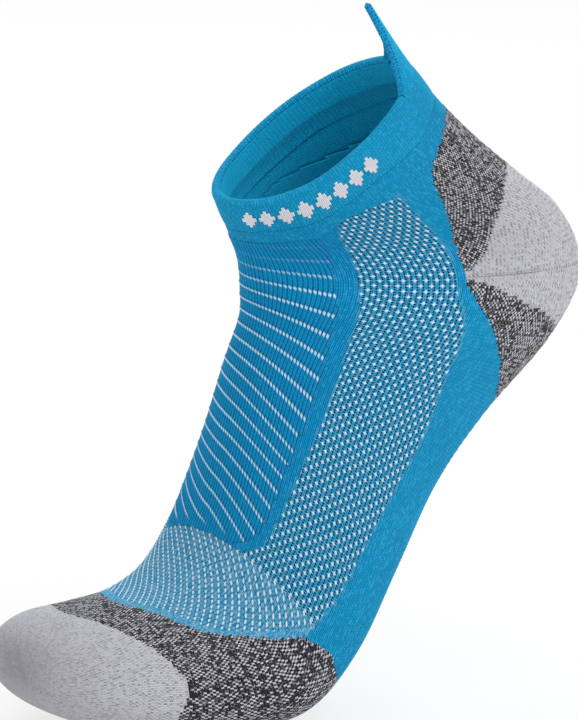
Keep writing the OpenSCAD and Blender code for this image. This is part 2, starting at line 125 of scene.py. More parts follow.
# Lengthwise borders as [station, angle], on both sides of the foot
RIB_EDGE = [[5.6, 21], [5.95, 40], [7.3, 50], [8.2, 52], [9.4, 48], [11.2, 46], [13.1, 49]]
MESH_IN = [[5.6, 32], [5.95, 46], [7.3, 57], [8.2, 60], [9.4, 57], [11.2, 55], [13.3, 59], [13.8, 66]]
MESH_OUT = [[5.6, 90], [7.1, 103], [8.2, 113], [9.3, 108], [10.2, 101], [11.1, 96], [14.1, 103]]
HEEL_EDGE = [[9.0, 180], [9.25, 148], [9.8, 123], [10.6, 103], [11.1, 99], [12.1, 102],
             [13.1, 114], [14.2, 127], [14.6, 142]]
SOLE_EDGE = [[5.35, 136], [9.25, 148]]
# The station where the rib and the side panels start, above the openwork over the toes, and
# that openwork's outer corner, as an angle and a station
MESH_START = 5.6
MESH_CORNER = (87, 5.35)
# The heel gore: its station, the angle of its first loop, and its loops on each side
GORE_STATION = 11.12
GORE_FIRST = 102
GORE_LOOPS = 16
# The toe seam's station, where the toe's lining starts, and the ball lining's first angle
SEAM_STATION = 1.1
LINING_START = 1.7
LINING_FROM = 100
# Each lining's mesh rows and its courses of loops, and how far the loops stand up
LINING_ROWS = 60
LINING_COURSES = 40
TERRY_LOOP = 0.35 * MM
# The heel tab: its angles, its height above the rim in stations, and how hollow its sides are
TAB_FROM, TAB_TIP, TAB_TO = 148, 180, 212
TAB_RISE = 1.9
TAB_FOOT = 0.12
TAB_CURVE = 1.2
TAB_TIP_STATION = 17.9
TAB_COURSES = 26
# Degrees that the overlock stops short of the tab's ends, and that the fold runs under the tab
EDGE_STOP = 1.5
FOLD_LAP = 5
# The cuff's courses, and the thickness of its inner layer's hem
CUFF_COURSES = 22
CUFF_HEM = 0.2 * MM
# The motif's diamonds: the first one's angle, the step to the next, their number, and the
# share of the cuff's height that they stand at
MOTIF_FIRST = 14
MOTIF_STEP = 11
MOTIF_COUNT = 8
MOTIF_PLACE = 0.52
# The height that a yarn's finest relief stands for
YARN_BUMP = 0.25 * MM
MARL_BUMP = 0.3 * MM
# How much of the floor's look comes from plain white, and the rest from the light on it
FLOOR_WHITE = 0.75

# The chart is drawn with this many mesh cells across a wale and along a course
ACROSS = 4
ALONG = 2
# The openwork repeats after this many wales and courses, and the rib's floats after this many
LATTICE = (2.5, 3.75)
FLOAT_STEP = 5
# The angle whose line along the foot sets the length of each zone's courses
GUIDES = {"rib": 30, "border_near": 50, "border_far": 50, "mesh_near": 80, "mesh_far": 80,
          "arch": 180, "heel_under": 150, "pocket": 150, "achilles": 150}
GUIDE = 90
# How far, in stations, a rib course leans for each degree round the instep, at the panel's top
# and at its bottom, and the stations between which the lean grows
RIB_LEAN = 0.0085
RIB_LEAN_MORE = 0.011
RIB_LEAN_SPAN = (7.2, 5.5)
# The station of the rib's first float on the middle of the instep
FIRST_FLOAT = 5.53
# How far the heel pocket's wales turn towards the back of the heel, in wales for each station
POCKET_TURN = 7.5


# ---------------------------------------------------------------- settings

def length(name, description, default, low, high):
    """A length setting, in metres."""
    return bpy.props.FloatProperty(name=name, description=description, default=default,
                                   min=low, max=high, precision=5, subtype="DISTANCE", unit="LENGTH")


def colour(name, description, red, green, blue):
    """A colour setting, given in the 0 to 255 steps of a colour card."""
    def linear(step):
        share = step / 255
        return share / 12.92 if share <= 0.04045 else ((share + 0.055) / 1.055) ** 2.4
    return bpy.props.FloatVectorProperty(name=name, description=description, subtype="COLOR", size=3,
                                         min=0, max=1, default=(linear(red), linear(green), linear(blue)))


class SockSizes(bpy.types.PropertyGroup):
    """Sizes of the knit"""
    wales: bpy.props.IntProperty(name="Wales", description="Stitches round the foot", default=180,
                                 min=96, max=240)
    course: length("Course", "Height of one course at the side of the foot", 0.95 * MM, 0.6 * MM, 1.5 * MM)
    knit: length("Knit", "Thickness of the outer knit", 1.2 * MM, 0.8 * MM, 2 * MM)
    terry: length("Terry", "Thickness of the terry linings", 1.4 * MM, 0.8 * MM, 2.5 * MM)
    gap: length("Gap", "Gap between one layer and the next", 0.3 * MM, 0.2 * MM, 0.6 * MM)
    cuff: length("Cuff layer", "Thickness of each layer of the turned cuff", 0.9 * MM, 0.6 * MM, 1.5 * MM)
    elastic: length("Elastic", "Diameter of one elastic thread", 0.7 * MM, 0.5 * MM, 1.2 * MM)
    elastic_rows: bpy.props.IntProperty(name="Elastic rows", description="Number of elastic threads",
                                        default=5, min=3, max=7)
    tab: length("Tab layer", "Thickness of each layer of the heel tab", 0.8 * MM, 0.5 * MM, 1.2 * MM)
    stitch: length("Stitch relief", "How far a plain stitch stands above its gaps", 0.22 * MM, 0, 0.5 * MM)
    rib: length("Rib relief", "How far a rib stands above its furrow", 0.45 * MM, 0, 1 * MM)
    hole: length("Hole depth", "Depth of the openwork's holes", 0.55 * MM, 0, 1 * MM)
    bulge: length("Cuff bulge", "How far the turned cuff stands proud", 0.35 * MM, 0, 1.5 * MM)


class SockColours(bpy.types.PropertyGroup):
    """Colours of the yarns, and the painted light and painted shade of the blue knit"""
    blue: colour("Blue", "Plain knit", 0, 160, 206)
    # Painted shade: the rib and its borders take the plain blue painted darker; the overlock's thread takes
    # this blue too
    deep_blue: colour("Deep blue", "Rib and borders", 0, 148, 200)
    # Painted light: the cuff and the tab take the plain blue painted brighter
    bright_blue: colour("Bright blue", "The cuff and the tab", 4, 176, 222)
    # Painted light: the inside of the knit is painted brighter than the outside's blue, to stand in for light
    # that comes through the knit
    inside: colour("Inside", "The inside of the blue knit", 20, 196, 242)
    # Painted shade: the gaps between blue stitches and the furrows beside the wales
    shade_blue: colour("Shade blue", "The gaps between blue stitches", 0, 104, 156)
    float_blue: colour("Float", "The pale float yarn of the rib and the openwork", 214, 240, 252)
    # Painted shade: the near black blue at the bottoms of the openwork's shallow holes, and in the dots under
    # the rib's floats
    hole: colour("Hole", "The bottom of the openwork's holes", 4, 48, 82)
    white: colour("White", "The motif's yarn", 244, 244, 248)
    black: colour("Black", "The dark yarn of the marl", 24, 24, 32)
    silver: colour("Silver", "The light yarn of the marl", 206, 206, 214)
    ash: colour("Ash", "The dark flecks of the light marl", 122, 121, 126)
    elastic: colour("Elastic", "The covered elastic", 226, 230, 232)


# ---------------------------------------------------------------- form and chart

def smooth(rows, place):
    """Points on a smooth curve through the rows of a table, at these places along it."""
    rows = np.asarray(rows, float)
    last = len(rows) - 1
    place = np.clip(np.asarray(place, float), 0, last)
    i = np.minimum(np.floor(place).astype(int), last - 1)
    f = (place - i)[..., None]
    a, b, c, d = rows[np.maximum(i - 1, 0)], rows[i], rows[i + 1], rows[np.minimum(i + 2, last)]
    bend = 2 * a - 5 * b + 4 * c - d
    return 0.5 * (2 * b + (c - a) * f + bend * f ** 2 + (3 * b - a - 3 * c + d) * f ** 3)


def signed_power(x, power):
    return np.sign(x) * np.abs(x) ** power


OPENING = smooth(SECTIONS, OPENING_STATION)
ORIGIN = np.array([(OPENING[0] + OPENING[2]) / 2, 0, (OPENING[1] + OPENING[3]) / 2])
STRETCH = np.array(cad_high - cad_low) / DESIGN_BOX


def skin(station, angle):
    """The form's surface at a station and an angle on the form, in metres."""
    s = smooth(SECTIONS, station)
    turn = np.radians(angle)
    up = signed_power(np.cos(turn), 2 / s[..., 7])
    side = signed_power(np.sin(turn), 2 / s[..., 7]) * (1 - s[..., 5] * np.cos(turn))
    x = (s[..., 0] + s[..., 2]) / 2 + (s[..., 0] - s[..., 2]) / 2 * up
    y = -s[..., 6] - s[..., 4] * side
    z = (s[..., 1] + s[..., 3]) / 2 + (s[..., 1] - s[..., 3]) / 2 * up
    return (np.stack([x, y, z], -1) - ORIGIN) * MM * STRETCH


def outward(station, angle):
    """The direction straight out of the form."""
    along = skin(station + 0.05, angle) - skin(station - 0.05, angle)
    around = skin(station, angle + 2) - skin(station, angle - 2)
    normal = np.cross(around, along)
    return normal / np.linalg.norm(normal, axis=-1, keepdims=True)


def swung(station, angle):
    """A knit angle as an angle on the form, which the swing turns at the back."""
    share = np.clip((station - SWING_START) / (SWING_END - SWING_START), 0, 1)
    return angle - SWING * share * (1 - np.cos(np.radians(angle))) / 2


def cloth(station, angle, lift):
    """A point at a height above the form, at a station and a knit angle."""
    station, angle = np.broadcast_arrays(np.asarray(station, float), np.asarray(angle, float))
    turned = swung(station, angle)
    lift = np.broadcast_to(np.asarray(lift, float), station.shape)
    return skin(station, turned) + lift[..., None] * outward(station, turned)


def folded(angle):
    """An angle on either side as its angle from the instep, 0 to 180."""
    angle = np.mod(angle, 360)
    return np.where(angle > 180, 360 - angle, angle)


def ring_at(edge, angle):
    """The station of a round border, with its corners eased over a few wales."""
    angles, stations = np.array(edge, float).T
    return sum(np.interp(folded(angle + ease), angles, stations) for ease in (-6, -3, 0, 3, 6)) / 5


def line_at(edge, station):
    """The angle of a lengthwise border at a station."""
    stations, angles = smooth(edge, np.linspace(0, len(edge) - 1, 200)).T
    return np.interp(station, stations, angles)


def tab_top(angle):
    """How far the tab rises above the rim at an angle, in stations."""
    from_tip = np.where(angle < TAB_TIP, (TAB_TIP - angle) / (TAB_TIP - TAB_FROM),
                        (angle - TAB_TIP) / (TAB_TO - TAB_TIP))
    return TAB_FOOT + (TAB_RISE - TAB_FOOT) * np.clip(1 - from_tip, 0, 1) ** TAB_CURVE


def plain_relief(wale, course):
    """The V of a plain stitch: two slanting legs with a furrow on each side, from 0 to 1."""
    leg = np.abs(np.mod(wale, 1) - 0.5)
    slant = np.mod(course + leg, 1)
    ridge = 1 - np.abs(leg - 0.25) / 0.25 * np.where(leg > 0.25, 1, 0.4)
    return ridge * (0.75 + 0.25 * np.cos(2 * np.pi * (slant - 0.5)))


def rib_relief(wale):
    """One rounded rib for each wale, from 0 in the furrow to 1."""
    return 1 - (2 * np.abs(np.mod(wale, 1) - 0.5)) ** 2


def lattice_place(wale, course):
    """How far a point is from the nearest tuck of the openwork, as shares of the repeat."""
    row = np.floor(course / LATTICE[1] * 2)
    x = np.mod(wale / LATTICE[0] + 0.5 * np.mod(row, 2), 1) - 0.5
    y = np.mod(course / LATTICE[1] * 2, 1) - 0.5
    return x, y


def openwork_relief(wale, course):
    """A raised tuck with a hole beside each of its four corners, from -1 to 1."""
    x, y = lattice_place(wale, course)
    tuck = np.exp(-(x / 0.14) ** 2 - (y / 0.24) ** 2)
    hole = np.exp(-((np.abs(x) - 0.27) / 0.10) ** 2 - ((np.abs(y) - 0.28) / 0.17) ** 2)
    return 0.4 * tuck - hole


def line_length(stations, angle):
    """The length of the foot's skin along one angle, up to each station."""
    line = skin(stations, swung(stations, np.full_like(stations, float(angle))))
    return np.concatenate([[0], np.cumsum(np.linalg.norm(np.diff(line, axis=0), axis=1))])


class Chart:
    """The knitting chart of the foot: its stitches, their zones and their places."""

    def __init__(self, sizes):
        self.sizes = sizes
        self.wales = sizes.wales
        self.stations = np.linspace(0, 15.6, 1500)
        self.travel = line_length(self.stations, GUIDE) / sizes.course
        self.courses = int(self.travel[-1])
        row_stations = self.station_of(np.arange(self.courses * ALONG + 1) / ALONG)
        columns = np.arange(self.wales * ACROSS) / ACROSS
        self.station = np.repeat(row_stations[:, None], len(columns), 1)
        self.wale = np.repeat(columns[None, :], len(row_stations), 0)
        self.angle = self.even_angles(row_stations, columns)
        turned = swung(self.station, self.angle)
        self.base = skin(self.station, turned)
        self.normal = outward(self.station, turned)
        centre = (slice(ALONG // 2, None, ALONG), slice(ACROSS // 2, None, ACROSS))
        self.zone = self.zones(self.station[centre], self.angle[centre])[:self.courses]
        self.pattern = self.pattern_share()

    def station_of(self, course):
        return np.interp(course, self.travel, self.stations)

    def even_angles(self, stations, columns):
        """The angle of each wale, so that the wales on each half of the foot are equally wide."""
        share = columns / self.wales * 2
        half = np.linspace(0, 180, 361)
        rows = []
        for station in stations:
            row = []
            for side in (half, 360 - half):
                points = skin(np.full_like(half, station), swung(station, side))
                run = np.concatenate([[0], np.cumsum(np.linalg.norm(np.diff(points, axis=0), axis=1))])
                row.append((run / run[-1], side))
            (near, near_angle), (far, far_angle) = row
            rows.append(np.where(share <= 1, np.interp(share, near, near_angle),
                                 np.interp(2 - share, far, far_angle)))
        return np.array(rows)

    def zones(self, station, angle):
        """The zone of each stitch, from the toe to the ankle band."""
        fold = folded(angle)
        heel = (station > 9.0) & (fold > line_at(HEEL_EDGE, station))
        sole = (station > 5.35) & (station < 9.25) & (fold > line_at(SOLE_EDGE, station))
        top = station < MESH_START
        side_of_mesh = MESH_CORNER[0] + (station - MESH_CORNER[1]) * 12
        tests = [
            (station < ring_at(TOE_EDGE, fold), "toe"),
            (station < ring_at(BALL_EDGE, fold), "ball"),
            (station > ring_at(CUFF_EDGE, fold) + 0.12, ""),
            (station > ring_at(BAND_EDGE, fold), "band"),
            (heel & (station < ring_at(POCKET_LOW, fold)), "heel_under"),
            (heel & (station < ring_at(POCKET_TOP, fold)), "pocket"),
            (heel, "achilles"),
            (top & (fold < side_of_mesh), "toe_mesh"),
            (~top & (fold < line_at(RIB_EDGE, station)) & (station < 13.1), "rib"),
            (~top & (fold < line_at(MESH_IN, station)), "border"),
            (~top & (fold < line_at(MESH_OUT, station)), "mesh"),
            (sole, "arch"),
        ]
        zone = np.select([test for test, _ in tests], [name for _, name in tests], "plain")
        paired = np.isin(zone, ["border", "mesh", "plain"])
        return np.where(paired, np.char.add(zone, np.where(angle < 180, "_near", "_far")), zone)

    def pattern_share(self):
        """How strongly the openwork, or the rib's floats, show at each point."""
        station, fold = self.station, folded(self.angle)
        strip = np.clip((station - ring_at(BALL_EDGE, fold) - 0.16) / 0.05, 0, 1)
        inner = np.where(station < MESH_START, 1, np.clip((fold - line_at(MESH_IN, station)) / 2, 0, 1))
        outer = np.where(station < MESH_START, 1, np.clip((line_at(MESH_OUT, station) - fold) / 3, 0, 1))
        openwork = strip * inner * outer * np.clip((14.1 - station) / 0.3, 0, 1)
        floats = np.clip((12.4 - station) / 2.0, 0.05, 1) * np.clip((station - 5.7) / 0.1, 0, 1)
        in_rib = (fold < line_at(RIB_EDGE, station)) & (station >= MESH_START)
        above = station - GORE_STATION
        gored = np.where(above > 0, np.clip(above / 0.3 - 0.4, 0, 1), 1)
        gored = gored - 2 * np.exp(-(above / 0.035) ** 2)
        in_pocket = (fold > line_at(HEEL_EDGE, station)) & (station > 9.9)
        return np.select([in_rib, in_pocket], [floats, gored], openwork)

    def course(self, zone):
        """Each point's course, counted along the zone's own guide line."""
        travel = line_length(self.stations, GUIDES.get(zone, GUIDE)) / self.sizes.course
        if zone != "rib":
            return np.interp(self.station, self.stations, travel)
        side = np.where(self.angle > 180, self.angle - 360, self.angle)
        leaned, (start, end) = self.station, RIB_LEAN_SPAN
        for _ in range(3):
            more = np.clip((start - leaned) / (start - end), 0, 1) ** 1.5
            leaned = self.station + (RIB_LEAN + RIB_LEAN_MORE * more) * side
        return np.interp(leaned, self.stations, travel) - np.interp(FIRST_FLOAT, self.stations, travel)

    def column(self, zone):
        """Each point's wale in the zone's own pattern, which turns in the heel pocket."""
        if zone != "pocket":
            return self.wale
        side = np.where(self.angle > 180, -1, 1) * np.clip((180 - folded(self.angle)) / 70, 0, 1)
        return self.wale + POCKET_TURN * side * (self.station - GORE_STATION)

    def relief(self, zone, course):
        """The height of each point above the form, for one zone's knit."""
        sizes = self.sizes
        plain = sizes.stitch * plain_relief(self.wale, course)
        if zone == "rib":
            on_float = np.mod(course, FLOAT_STEP) < 1
            return sizes.rib * rib_relief(self.wale) * (1 + 0.35 * on_float * self.pattern)
        if "mesh" in zone:
            opened = plain * 0.4 + sizes.hole * openwork_relief(self.wale, course)
            return plain * (1 - self.pattern) + self.pattern * opened
        if zone == "toe":
            return plain * np.clip(course / 45, 0, 1)
        if zone == "pocket":
            ribs = rib_relief(self.column(zone)) * np.clip(self.pattern, 0, 1)
            return plain * 0.6 + sizes.stitch * (ribs - np.clip(-self.pattern, 0, 1))
        tucked = np.clip((self.station - ring_at(CUFF_EDGE, self.angle)) / 0.06 + 1, 0, 1)
        raised = 1.4 if zone in ("ball", "heel_under", "achilles") else 1
        return plain * raised * (1 - tucked) - 0.5 * MM * tucked


@lru_cache(maxsize=1)
def chart():
    return Chart(bpy.context.scene.sock_sizes)


# ---------------------------------------------------------------- meshes

def new_piece(name, points, faces, uvs, smooth_faces, materials, attributes=(), linings=None):
    """A mesh object with its chart coordinates as a UV map."""
    mesh = bpy.data.meshes.new(name)
    mesh.from_pydata(points.tolist(), [], faces)
    mesh.polygons.foreach_set("use_smooth", smooth_faces)
    layer = mesh.uv_layers.new(name="chart")
    layer.data.foreach_set("uv", np.asarray(uvs, np.float32).ravel())
    for label, values in attributes:
        data = mesh.attributes.new(label, "FLOAT", "POINT")
        data.data.foreach_set("value", np.asarray(values, np.float32))
    for material in materials:
        mesh.materials.append(material)
    if linings is not None:
        mesh.polygons.foreach_set("material_index", linings)
    mesh.update()
    piece = bpy.data.objects.new(name, mesh)
    bpy.context.scene.collection.objects.link(piece)
    return piece


def zone_piece(name, zone, thickness, materials):
    """The stitches of one zone as a closed sheet: fine outside, one face a stitch inside."""
    sock = chart()
    stitches = sock.zone == zone
    rows, columns = np.nonzero(stitches)
    wide = sock.wales * ACROSS
    course, column = sock.course(zone), sock.column(zone)
    outer = sock.base + sock.relief(zone, course)[..., None] * sock.normal
    inner_start = outer.shape[0] * wide
    inner = (sock.base - thickness * sock.normal)[::ALONG, ::ACROSS]
    points = np.concatenate([outer.reshape(-1, 3), inner.reshape(-1, 3)])

    def outside(i, j):
        return i * wide + j % wide

    def inside(r, c):
        return inner_start + r * sock.wales + c % sock.wales

    faces, uvs = [], []

    def add(corners):
        """Faces from lists of (vertex, column, row), given anticlockwise from outside."""
        ids = np.stack([vertex for vertex, _, _ in corners], 1)
        faces.extend(ids.tolist())
        places = np.stack([np.stack([x, y], -1) for _, x, y in corners], 1)
        uvs.append(places.reshape(-1, 2))

    def place(i, j):
        """The wale and course of a mesh point, past the last wale too."""
        return column[i, j % wide] + sock.wales * (j >= wide), course[i, j % wide]

    def outer_corner(i, j):
        return (outside(i, j), *place(i, j))

    def inner_corner(r, c):
        return (inside(r, c), *place(r * ALONG, c * ACROSS))

    for a in range(ALONG):
        for b in range(ACROSS):
            i, j = rows * ALONG + a, columns * ACROSS + b
            add([outer_corner(i, j), outer_corner(i, j + 1),
                 outer_corner(i + 1, j + 1), outer_corner(i + 1, j)])
    add([inner_corner(rows, columns), inner_corner(rows + 1, columns),
         inner_corner(rows + 1, columns + 1), inner_corner(rows, columns + 1)])
    smooth_count = len(faces)
    linings = np.arange(smooth_count) >= smooth_count - len(rows)

    padded_zone = np.pad(stitches, ((1, 1), (0, 0)))
    below, above = ~padded_zone[:-2] & stitches, ~padded_zone[2:] & stitches
    before, after = ~np.roll(stitches, 1, 1) & stitches, ~np.roll(stitches, -1, 1) & stitches
    r, c = np.nonzero(below) if zone != "toe" else (rows[:0], columns[:0])
    add([inner_corner(r, c), inner_corner(r, c + 1)]
        + [outer_corner(r * ALONG, c * ACROSS + k) for k in range(ACROSS, -1, -1)])
    r, c = np.nonzero(above)
    add([inner_corner(r + 1, c + 1), inner_corner(r + 1, c)]
        + [outer_corner((r + 1) * ALONG, c * ACROSS + k) for k in range(ACROSS + 1)])
    r, c = np.nonzero(before)
    add([inner_corner(r + 1, c), inner_corner(r, c)]
        + [outer_corner(r * ALONG + k, c * ACROSS) for k in range(ALONG + 1)])
    r, c = np.nonzero(after)
    add([inner_corner(r, c + 1), inner_corner(r + 1, c + 1)]
        + [outer_corner(r * ALONG + k, (c + 1) * ACROSS) for k in range(ALONG, -1, -1)])

    if zone == "toe":
        tips = [points[:wide].mean(0), points[inner_start:inner_start + sock.wales].mean(0)]
        tip = len(points)
        points = np.concatenate([points, tips])
        j = np.arange(wide)
        add([outer_corner(0 * j, j + 1), outer_corner(0 * j, j), (tip + 0 * j, j / ACROSS, 0.0 * j)])
        c = np.arange(sock.wales)
        add([inner_corner(0 * c, c), inner_corner(0 * c, c + 1), (tip + 1 + 0 * c, c * 1.0, 0.0 * c)])
    flat = np.concatenate([np.asarray(face) for face in faces])
    used, renumbered = np.unique(flat, return_inverse=True)
    ends = np.cumsum([len(face) for face in faces])
    faces = [part.tolist() for part in np.split(renumbered, ends[:-1])]
    smooth_faces = np.arange(len(faces)) < smooth_count
    linings = np.concatenate([linings, np.zeros(len(faces) - smooth_count, bool)])
    if zone == "toe":
        smooth_faces[-(wide + sock.wales):] = True
        linings[-sock.wales:] = True
    share = np.concatenate([sock.pattern.ravel(), sock.pattern[::ALONG, ::ACROSS].ravel(), [0, 0]])
    return new_piece(name, points[used], faces, np.concatenate(uvs), smooth_faces, materials,
                     [("pattern", share[used])], linings * (len(materials) - 1))


def wall_piece(name, outer, inner, wale, course, material, wrap=False):
    """A closed wall between two grids of points, with its ends shut."""
    rows, columns = outer.shape[:2]
    count = rows * columns
    i, j = np.meshgrid(np.arange(rows - 1), np.arange(columns - (0 if wrap else 1)), indexing="ij")
    i, j = i.ravel(), j.ravel()
    wale, course = np.broadcast_to(wale, (rows, columns)), np.broadcast_to(course, (rows, columns))
    step = wale[0, 1] - wale[0, 0]
    faces, uvs = [], []

    def add(corners):
        """Faces from lists of (row, column, layer)."""
        ids = np.stack([r * columns + c % columns + layer * count for r, c, layer in corners], 1)
        faces.extend(ids.tolist())
        places = []
        for r, c, _ in corners:
            across = wale[r, c % columns] + step * columns * (c >= columns)
            places.append(np.stack([across, course[r, c % columns]], -1))
        uvs.append(np.stack(places, 1).reshape(-1, 2))

    add([(i, j, 0), (i, j + 1, 0), (i + 1, j + 1, 0), (i + 1, j, 0)])
    add([(i, j, 1), (i + 1, j, 1), (i + 1, j + 1, 1), (i, j + 1, 1)])
    smooth_count = len(faces)
    c = np.arange(columns - (0 if wrap else 1))
    first, last = 0 * c, 0 * c + rows - 1
    add([(first, c, 1), (first, c + 1, 1), (first, c + 1, 0), (first, c, 0)])
    add([(last, c, 0), (last, c + 1, 0), (last, c + 1, 1), (last, c, 1)])
    if not wrap:
        r = np.arange(rows - 1)
        first, last = 0 * r, 0 * r + columns - 1
        add([(r, first, 0), (r + 1, first, 0), (r + 1, first, 1), (r, first, 1)])
        add([(r, last, 1), (r + 1, last, 1), (r + 1, last, 0), (r, last, 0)])
    points = np.concatenate([outer.reshape(-1, 3), inner.reshape(-1, 3)])
    smooth_faces = np.arange(len(faces)) < smooth_count
    return new_piece(name, points, faces, np.concatenate(uvs), smooth_faces, [material],
                     [("pattern", np.zeros(len(points)))])


def tube(path, radius, sides=8, loop=False):
    """Rings of points round a path, as a grid with one row for each point of the path."""
    path = np.asarray(path, float)
    if loop:
        ahead, behind = np.roll(path, -1, 0), np.roll(path, 1, 0)
    else:
        ahead = np.concatenate([path[1:], path[-1:]])
        behind = np.concatenate([path[:1], path[:-1]])
    along = ahead - behind
    along /= np.linalg.norm(along, axis=1, keepdims=True)
    side = np.cross(along, [0.3, 0.2, 0.9])
    side /= np.linalg.norm(side, axis=1, keepdims=True)
    up = np.cross(side, along)
    turn = np.arange(sides) * 2 * np.pi / sides
    radius = np.broadcast_to(radius, len(path))[:, None, None]
    around = side[:, None] * np.cos(turn)[None, :, None] + up[:, None] * np.sin(turn)[None, :, None]
    return path[:, None] + radius * around


def tubes_piece(name, grids, material, loop=False):
    """Several tubes as one object, each closed to a loop or with capped ends."""
    points, faces, uvs, start = [], [], [], 0
    for grid in grids:
        rings, sides = grid.shape[:2]
        i, k = np.meshgrid(np.arange(rings - (0 if loop else 1)), np.arange(sides), indexing="ij")
        i, k = i.ravel(), k.ravel()
        corners = [(i, k), (i, k + 1), (i + 1, k + 1), (i + 1, k)]
        ids = np.stack([start + r % rings * sides + c % sides for r, c in corners], 1)
        faces.extend(ids.tolist())
        uvs.append(np.stack([np.stack([c / sides, r / 4], -1) for r, c in corners], 1).reshape(-1, 2))
        if not loop:
            faces.append((start + np.arange(sides)[::-1]).tolist())
            faces.append((start + (rings - 1) * sides + np.arange(sides)).tolist())
            uvs.append(np.zeros((2 * sides, 2)))
        points.append(grid.reshape(-1, 3))
        start += rings * sides
    return new_piece(name, np.concatenate(points), faces, np.concatenate(uvs),
                     np.ones(len(faces), bool), [material])


def twisted(path, radius, strand, turns, phase=0.0):
    """A strand that winds round a path this many times."""
    path = np.asarray(path, float)
    ring = tube(path, radius, sides=2)
    side = (ring[:, 0] - ring[:, 1]) / 2
    along = np.gradient(path, axis=0)
    along /= np.linalg.norm(along, axis=1, keepdims=True)
    up = np.cross(along, side)
    turn = (np.linspace(0, turns, len(path)) + phase)[:, None] * 2 * np.pi
    return tube(path + side * np.cos(turn) + up * np.sin(turn), strand, sides=6)


# ---------------------------------------------------------------- materials

class YarnGraph:
    """A material's node tree, with short calls for the sums that a knit pattern needs."""

    def __init__(self, name, roughness=0.85, sheen=0.06):
        self.material = bpy.data.materials.new(name)
        self.material.use_nodes = True
        self.tree = self.material.node_tree
        self.shader = self.tree.nodes["Principled BSDF"]
        self.shader.inputs["Roughness"].default_value = roughness
        self.shader.inputs["Sheen Weight"].default_value = sheen
        self.shader.inputs["Sheen Roughness"].default_value = 0.5
        self.shader.inputs["Specular IOR Level"].default_value = 0.1

    def node(self, kind, inputs=(), **settings):
        made = self.tree.nodes.new(kind)
        for key, value in settings.items():
            setattr(made, key, value)
        for socket, value in inputs:
            if isinstance(value, bpy.types.NodeSocket):
                self.tree.links.new(value, made.inputs[socket])
            else:
                made.inputs[socket].default_value = value
        return made

    def math(self, operation, first, second=0.0):
        return self.node("ShaderNodeMath", [(0, first), (1, second)], operation=operation).outputs[0]

    def ramp(self, value, low, high, to_low=0.0, to_high=1.0):
        """Value from low to high, eased, as a share from to_low to to_high."""
        return self.node("ShaderNodeMapRange", [("Value", value), ("From Min", low), ("From Max", high),
                                                ("To Min", to_low), ("To Max", to_high)],
                         interpolation_type="SMOOTHSTEP").outputs["Result"]

    def mix(self, share, first, second):
        made = self.node("ShaderNodeMix", data_type="RGBA")
        for socket, value in ((0, share), (6, first), (7, second)):
            if isinstance(value, bpy.types.NodeSocket):
                self.tree.links.new(value, made.inputs[socket])
            else:
                made.inputs[socket].default_value = (*value, 1) if socket else value
        return made.outputs[2]

    def chart(self):
        """The chart coordinates: wale and course."""
        place = self.node("ShaderNodeUVMap", uv_map="chart").outputs[0]
        parts = self.node("ShaderNodeSeparateXYZ", [(0, place)])
        return parts.outputs[0], parts.outputs[1]

    def pattern(self):
        return self.node("ShaderNodeAttribute", attribute_name="pattern").outputs["Fac"]

    def random(self, x, y):
        """A random share for each whole x and y."""
        place = self.node("ShaderNodeCombineXYZ", [(0, self.math("FLOOR", x)), (1, self.math("FLOOR", y))])
        return self.node("ShaderNodeTexWhiteNoise", [("Vector", place.outputs[0])],
                         noise_dimensions="2D").outputs["Value"]

    def noise(self, scale, detail=2.0, roughness=0.5):
        """Noise in the object's own space, with features of about 1 / scale metres."""
        place = self.node("ShaderNodeTexCoord").outputs["Object"]
        return self.node("ShaderNodeTexNoise", [("Vector", place), ("Scale", scale), ("Detail", detail),
                                                ("Roughness", roughness)]).outputs["Fac"]

    def stitch(self, wale, course, slant=1.0):
        """The height of a plain stitch's two legs, and a number for each leg."""
        leg = self.math("ABSOLUTE", self.math("SUBTRACT", self.math("FRACT", wale), 0.5))
        leaned = self.math("ADD", course, self.math("MULTIPLY", leg, slant))
        centre = self.math("ABSOLUTE", self.math("SUBTRACT", leg, 0.25))
        ridge = self.ramp(centre, 0.27, 0.05)
        loop = self.math("ABSOLUTE", self.math("SUBTRACT", self.math("FRACT", leaned), 0.5))
        height = self.math("MULTIPLY", ridge, self.ramp(loop, 0.55, 0.1, 0.45, 1.0))
        return height, self.random(self.math("MULTIPLY", wale, 2.0), leaned)

    def finish(self, base, height, bump):
        """Connects the colour and the stitch relief, with fine fibres over both."""
        fibres = self.noise(2600, 3.0, 0.65)
        relief = self.math("ADD", height, self.math("MULTIPLY", fibres, 0.5))
        shaped = self.node("ShaderNodeBump", [("Height", relief), ("Distance", bump), ("Strength", 0.8)])
        self.tree.links.new(shaped.outputs[0], self.shader.inputs["Normal"])
        self.tree.links.new(base, self.shader.inputs["Base Color"])
        return self.material


def blue_yarn(name, main, shade, light=0.35, furrow_shade=0.3):
    """Plain blue knit: light stitch legs over gaps darkened as painted shade, and painted shade in a furrow
    beside each wale.
    """
    graph = YarnGraph(name)
    wale, course = graph.chart()
    height, leg_number = graph.stitch(wale, course)
    # Painted shade: the lower a stitch's relief, the more it takes the shade colour
    body = graph.mix(graph.ramp(height, 0.05, 0.8), shade, main)
    pale = tuple(min(1.0, c * 1.3 + 0.05) for c in main)
    body = graph.mix(graph.math("MULTIPLY", graph.ramp(leg_number, 0.5, 1.0), light), body, pale)
    # Painted shade: a furrow beside each wale is darkened towards the shade colour
    beside = graph.math("ABSOLUTE", graph.math("SUBTRACT", graph.math("FRACT", wale), 0.5))
    body = graph.mix(graph.math("MULTIPLY", graph.ramp(beside, 0.22, 0.46), furrow_shade), body, shade)
    cloud = graph.ramp(graph.noise(45), 0.35, 0.7, 0.0, 0.12)
    body = graph.mix(cloud, body, shade)
    return graph.finish(body, height, YARN_BUMP)


